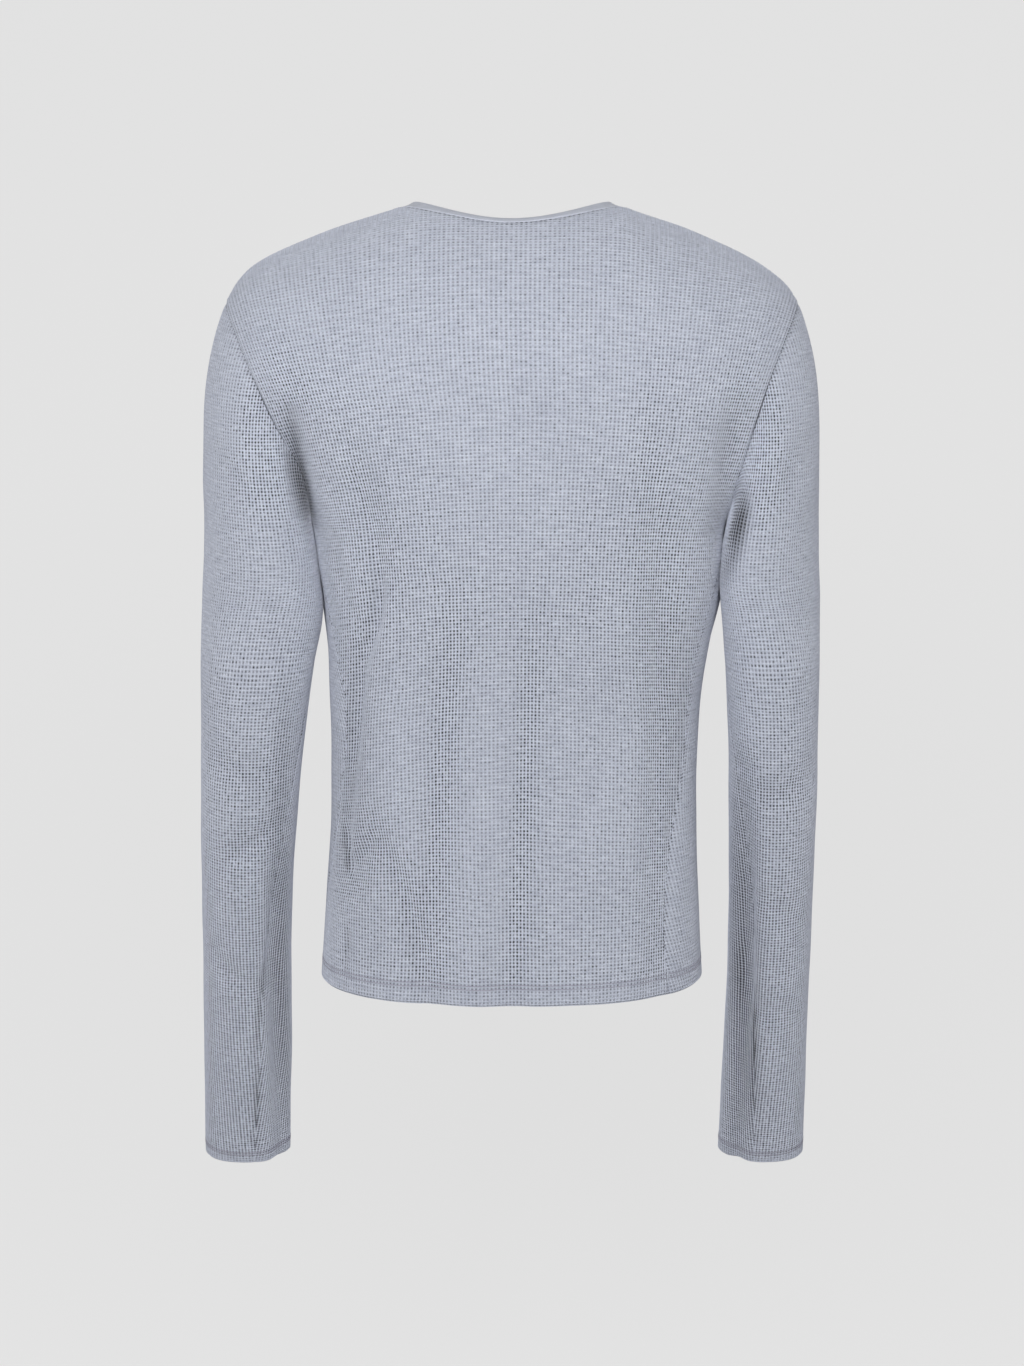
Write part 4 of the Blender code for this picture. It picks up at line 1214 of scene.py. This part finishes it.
# %% Heather yarn
YARN_WAVES = (  # scale, stretch and share of the noises that mix the fibres
    (1.0, (0.22, 1.1, 1), 0.9),  # lengths of yarn
    (3.1, (0.8, 1.9, 1), 1.1),  # flecks
    (0.05, (1, 1, 1), 0.25),  # slow change from one part of the cloth to another
)
YARN_RANGE = (0.72, 1.53)  # of their sum, from all dark to all light fibres


def heather_group():
    group, start, end = node_group(
        "heather_yarn",
        [("Knit", "Vector"), ("Light fibres", "Color", (0.6, 0.6, 0.65, 1)),
         ("Dark fibres", "Color", (0.3, 0.3, 0.4, 1)), ("Coarseness", "Float", 1.0)],
        [("Color", "Color"), ("Fibres", "Float")])
    given = start.outputs
    inputs = {0: given["Knit"], "Scale": given["Coarseness"]}
    scaled = add_node(group, "VectorMath", inputs, operation="SCALE")
    waves = [noise(group, scaled.outputs[0], scale, 2.0, stretch) for scale, stretch, _ in YARN_WAVES]
    mixed = 0.0
    for wave, (_, _, share) in zip(waves, YARN_WAVES):
        mixed = math_node(group, "MULTIPLY_ADD", wave, share, mixed)
    inputs = {"Value": mixed, "From Min": YARN_RANGE[0], "From Max": YARN_RANGE[1]}
    light = add_node(group, "MapRange", inputs).outputs["Result"]
    colour = mix_colour(group, "MIX", light, given["Dark fibres"], given["Light fibres"])
    plug(group, end.inputs, {"Color": colour, "Fibres": waves[1]})
    return group


heather = heather_group()
print("group:", heather.name)


# %% Cells of the knit
CHANNEL = 0.18  # how much of the painted pit shade and the pit's depth the cloth between two pits of a column keeps
PIT_SHARPNESS = 1.1
FINE_WALES, FINE_COURSES, FINE_SHIFT = 3, 4, 0.6  # stitches to a cell each way, and their shift


def cell_group():
    """How deep in its cell a place lies, and the height of the fine stitches on the ribs."""
    outputs = [("Pit", "Float"), ("Stitches", "Float")]
    group, start, end = node_group("waffle_cells", [("Knit", "Vector")], outputs)
    split = separate(group, start.outputs["Knit"])
    waves = {}
    for axis in ("X", "Y"):
        turn = math_node(group, "MULTIPLY", split[axis], 2 * math.pi)
        waves[axis] = math_node(group, "MULTIPLY_ADD", math_node(group, "COSINE", turn), -0.5, 0.5)
    down = math_node(group, "MULTIPLY_ADD", waves["Y"], 1 - CHANNEL, CHANNEL)
    pit = math_node(group, "POWER", math_node(group, "MULTIPLY", waves["X"], down), PIT_SHARPNESS)
    turn_x = math_node(group, "MULTIPLY", split["X"], FINE_WALES * 2 * math.pi)
    turn_y = math_node(group, "MULTIPLY_ADD", split["Y"], FINE_COURSES * 2 * math.pi, FINE_SHIFT)
    fine = math_node(group, "MULTIPLY", math_node(group, "SINE", turn_x), math_node(group, "SINE", turn_y))
    plug(group, end.inputs, {"Pit": pit, "Stitches": fine})
    return group


cells = cell_group()
print("group:", cells.name)

# %% [markdown]
# The finishes themselves keep their Principled shaders outside the groups. Cotton is matt,
# with a faint sheen from the loose fibres that stand off it. The waffle's colour is its yarn
# times a painted shade: darker in the pits and lighter on the ribs, more so in slack cells
# than in stretched ones, a little uneven from cell to cell, darker again in folds and creases,
# and darker along the seams.

# %% Finishes
RIB_LIGHT, RIB_DARK = (0.62, 0.65, 0.735, 1), (0.39, 0.415, 0.50, 1)
# the band's yarn is painted lighter than the waffle's, to make up for the shade on its upturned face
BAND_LIGHT, BAND_DARK = (0.70, 0.73, 0.82, 1), (0.50, 0.53, 0.62, 1)
THREAD_LIGHT, THREAD_DARK = (0.45, 0.44, 0.52, 1), (0.30, 0.29, 0.37, 1)
BAND_FINENESS, THREAD_FINENESS = 420.0, 900.0  # of their fibres, in waves to a metre
PIT_SHADE = (0.53, 1.30)  # painted shade at the bottom of a cell, where stretched and where slack
MEAN_PIT = 0.21  # taken off, so that painted shade darkens the pits and lightens the ribs; set a little low, so slack cloth is also painted a little darker
UNEVEN, UNEVEN_SCALE = 2.6, 0.9  # how much and how fast the depth of painted pit shade differs between cells
RIB_PART, PIT_PART = 0.45, 2.1  # how much of the painted crease shade and the seam darkening the ribs and the pits take
# the painted shade never takes the colour below this share
DARKEST = 0.05
RELIEF = {"Pit": -0.8, "Stitches": 0.12, "Fibres": 0.35}  # what the waffle's bump is made of
BAND_RIB, BAND_STITCH = 0.0012, 0.0009  # pitch of the band's own fine ribs and stitches
ROUGHNESS, THREAD_ROUGHNESS = 0.92, 0.7
COTTON = {"Sheen Weight": 0.18, "Sheen Roughness": 0.5, "Specular IOR Level": 0.25}


def new_finish(name, inputs):
    finish = bpy.data.materials.new(name)
    finish.use_nodes = True
    shader = finish.node_tree.nodes["Principled BSDF"]
    plug(finish.node_tree, shader.inputs, inputs)
    return finish, finish.node_tree, shader


def yarn_on(tree, vector, light, dark, fineness):
    inputs = {"Knit": vector, "Light fibres": light, "Dark fibres": dark, "Coarseness": fineness}
    return add_node(tree, "Group", inputs, node_tree=heather).outputs


def map_vector(tree, name):
    return add_node(tree, "UVMap", {}, uv_map=name).outputs["UV"]


def colour_and_bump(tree, shader, colour, height, strength, distance):
    bump = add_node(tree, "Bump", {"Strength": strength, "Distance": distance, "Height": height})
    plug(tree, shader.inputs, {"Base Color": colour, "Normal": bump.outputs["Normal"]})


def waffle_finish():
    finish, tree, shader = new_finish("waffle_knit", {"Roughness": ROUGHNESS, **COTTON})
    knit = map_vector(tree, "knit")
    yarn = yarn_on(tree, knit, RIB_LIGHT, RIB_DARK, 1.0)
    cell = add_node(tree, "Group", {"Knit": knit}, node_tree=cells).outputs
    slack = separate(tree, map_vector(tree, "slack"))
    # painted shade: pits darker and ribs lighter, more so in slack cells
    close = math_node(tree, "MULTIPLY", slack["X"], slack["X"])
    dark = math_node(tree, "MULTIPLY_ADD", close, PIT_SHADE[0] - PIT_SHADE[1], -PIT_SHADE[0])
    uneven = math_node(tree, "MULTIPLY_ADD", noise(tree, knit, UNEVEN_SCALE, 1.0), UNEVEN, 1 - UNEVEN / 2)
    over_mean = math_node(tree, "SUBTRACT", math_node(tree, "MULTIPLY", cell["Pit"], uneven), MEAN_PIT)
    shade = math_node(tree, "MULTIPLY_ADD", over_mean, dark, 1.0)
    # painted shade of folds and creases and the darkening along seams, mostly in the pits
    part = math_node(tree, "MULTIPLY_ADD", cell["Pit"], -PIT_PART, -RIB_PART)
    creased = math_node(tree, "MAXIMUM", math_node(tree, "MULTIPLY_ADD", part, slack["Y"], 1.0), DARKEST)
    shade = math_node(tree, "MAXIMUM", math_node(tree, "MULTIPLY", shade, creased), DARKEST)
    height = 1.0
    for name, source in (("Pit", cell), ("Stitches", cell), ("Fibres", yarn)):
        height = math_node(tree, "MULTIPLY_ADD", source[name], RELIEF[name], height)
    colour = mix_colour(tree, "MULTIPLY", 1.0, yarn["Color"], shade)
    colour_and_bump(tree, shader, colour, height, 0.4, 0.0004)
    return finish


def band_finish():
    finish, tree, shader = new_finish("neckband_knit", {"Roughness": ROUGHNESS, **COTTON})
    knit = map_vector(tree, "knit")
    yarn = yarn_on(tree, knit, BAND_LIGHT, BAND_DARK, BAND_FINENESS)
    split = separate(tree, knit)
    height = 0.0
    for axis, pitch, part in (("Y", BAND_STITCH, 0.15), ("X", BAND_RIB, 0.35)):
        turn = math_node(tree, "MULTIPLY", split[axis], 2 * math.pi / pitch)
        height = math_node(tree, "MULTIPLY_ADD", math_node(tree, "SINE", turn), part, height)
    height = math_node(tree, "MULTIPLY_ADD", yarn["Fibres"], 0.4, height)
    colour_and_bump(tree, shader, yarn["Color"], height, 0.5, 0.0002)
    return finish


def thread_finish():
    finish, tree, shader = new_finish("sewing_thread", {"Roughness": THREAD_ROUGHNESS, **COTTON})
    position = add_node(tree, "TexCoord", {}).outputs["Object"]
    yarn = yarn_on(tree, position, THREAD_LIGHT, THREAD_DARK, THREAD_FINENESS)
    colour_and_bump(tree, shader, yarn["Color"], yarn["Fibres"], 0.4, 0.0001)
    return finish


finishes = {"waffle_knit": waffle_finish(), "neckband_knit": band_finish(), "sewing_thread": thread_finish()}
print("finishes:", ", ".join(finishes))

# %% [markdown]
# ## Placing everything in the frame
#
# Every piece rides on the only body, gets the finish named by its slot, and stands in for
# its plain solid, which is hidden. The threads ride on the same body, with the finish of
# sewing thread.

# %% Ride, replace and finish
DECLARED = {  # the solid that it stands in for, its slot, flat size and area, and its stitches
    "back_knit": ("back", "waffle_knit", (0.44, 0.68), 0.262, "back_stitches"),
    "front_knit": ("front", "waffle_knit", (0.52, 0.66), 0.315, "front_stitches"),
    "left_sleeve_knit": ("sleeve_left", "waffle_knit", (0.36, 0.72), 0.205, "left_cuff_stitches"),
    "right_sleeve_knit": ("sleeve_right", "waffle_knit", (0.36, 0.72), 0.200, "right_cuff_stitches"),
    "neckband_knit": ("neckband", "neckband_knit", (0.46, 0.022), None, "no stitches"),
}

for name, piece in pieces.items():
    solid, slot, flat, area, stitches = DECLARED[name]
    piece.data.materials.clear()
    piece.data.materials.append(finishes[slot])
    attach(piece, "root")
    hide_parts(solid)
for line in threads.values():
    line.data.materials.append(finishes["sewing_thread"])
    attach(line, "root")
print("pieces:", len(pieces), "and rows of stitching:", len(threads))

# %% [markdown]
# ## Studio
#
# A pale sweep of paper, a big soft light high behind the camera, weaker ones at the sides,
# and a long lens a little above the middle of the top.

# %% Backdrop
FLOOR, SWEEP_BACK, SWEEP_FRONT, SWEEP_HALF, SWEEP_HEIGHT = -1.45, -2.2, 4.0, 4.0, 3.4
SWEEP_BEND = 1.0  # radius of the bend between floor and wall
PAPER = {"Base Color": (0.12, 0.12, 0.12, 1), "Roughness": 0.95, "Emission Color": (1, 1, 1, 1)}
GLOW_FROM, GLOW = (-1.1, -0.2), (0.695, 0.33)  # the paper glows behind the top, and less below it


def backdrop():
    bpy.ops.mesh.primitive_plane_add(size=1, location=(0, 0, 0))
    paper = bpy.context.active_object
    paper.name = paper.data.name = "paper_sweep"
    flat = coordinates(paper.data) + (0.5, 0.5, 0)
    corners = flat * (2 * SWEEP_HALF, SWEEP_FRONT - SWEEP_BACK, 0) + (-SWEEP_HALF, SWEEP_BACK, FLOOR)
    put(paper.data, corners)
    edit(paper, bpy.ops.mesh.select_mode, type="EDGE")
    for group in (paper.data.vertices, paper.data.polygons):
        group.foreach_set("select", np.zeros(len(group), bool))
    nearest = corners[numbers(paper.data.edges, "vertices", np.int32, 2), 1].max(axis=1)
    paper.data.edges.foreach_set("select", nearest < SWEEP_BACK + 0.01)
    edit(paper, bpy.ops.mesh.extrude_region_move, TRANSFORM_OT_translate={"value": (0, 0, SWEEP_HEIGHT)})
    apply_modifier(paper, "BEVEL", width=SWEEP_BEND, segments=24, limit_method="ANGLE")
    paper.data.shade_smooth()
    finish, tree, shader = new_finish("pale_paper", PAPER)
    place = separate(tree, add_node(tree, "TexCoord", {}).outputs["Object"])
    inputs = {"Value": place["Y"], "From Min": GLOW_FROM[0], "From Max": GLOW_FROM[1],
              "To Min": GLOW[0], "To Max": GLOW[1]}
    glow = add_node(tree, "MapRange", inputs, interpolation_type="SMOOTHSTEP")
    plug(tree, shader.inputs, {"Emission Strength": glow.outputs["Result"]})
    paper.data.materials.append(finish)
    print("paper:", len(paper.data.polygons), "faces")


backdrop()

# %% Light
WORLD_LIGHT = 0.06
AIM = np.array([0.0, 0.0, -0.378])  # the middle of the top
LIGHTS = {  # place, size and power
    "key_high": ((0.10, 2.0, 0.50), (0.9, 0.7), 38.2),
    "fill_left": ((1.9, 0.1, 0.35), (0.7, 1.4), 6.0),
    "fill_right": ((-1.9, 0.1, 0.35), (0.7, 1.4), 6.0),
}

for name, (place, size, power) in LIGHTS.items():
    lamp = bpy.data.lights.new(name, "AREA")
    lamp.shape, lamp.size, lamp.size_y, lamp.energy = "RECTANGLE", size[0], size[1], power
    light = bpy.data.objects.new(name, lamp)
    light.location = place
    away = unit(np.array(place) - AIM)
    light.rotation_euler = (math.acos(away[2]), 0, math.atan2(away[1], away[0]) + math.pi / 2)
    bpy.context.scene.collection.objects.link(light)

world = bpy.data.worlds.new("studio")
world.use_nodes = True
background = world.node_tree.nodes["Background"]
plug(world.node_tree, background.inputs, {"Color": (1, 1, 1, 1), "Strength": WORLD_LIGHT})
bpy.context.scene.world = world
view = bpy.context.scene.view_settings
view.view_transform, view.look = "Standard", "None"
print("lights:", ", ".join(LIGHTS))

# %% Camera
CAMERA_DISTANCE, CAMERA_RISE, LENS, SENSOR = 2.6, math.radians(10), 85.65, 36.0
camera = bpy.data.objects.new("camera", bpy.data.cameras.new("camera"))
camera.data.lens, camera.data.sensor_width = LENS, SENSOR
camera.location = AIM + CAMERA_DISTANCE * np.array([0, math.cos(CAMERA_RISE), math.sin(CAMERA_RISE)])
camera.rotation_euler = (math.pi / 2 - CAMERA_RISE, 0, math.pi)
bpy.context.scene.collection.objects.link(camera)
bpy.context.scene.camera = camera
print("camera at", [round(value, 3) for value in camera.location])
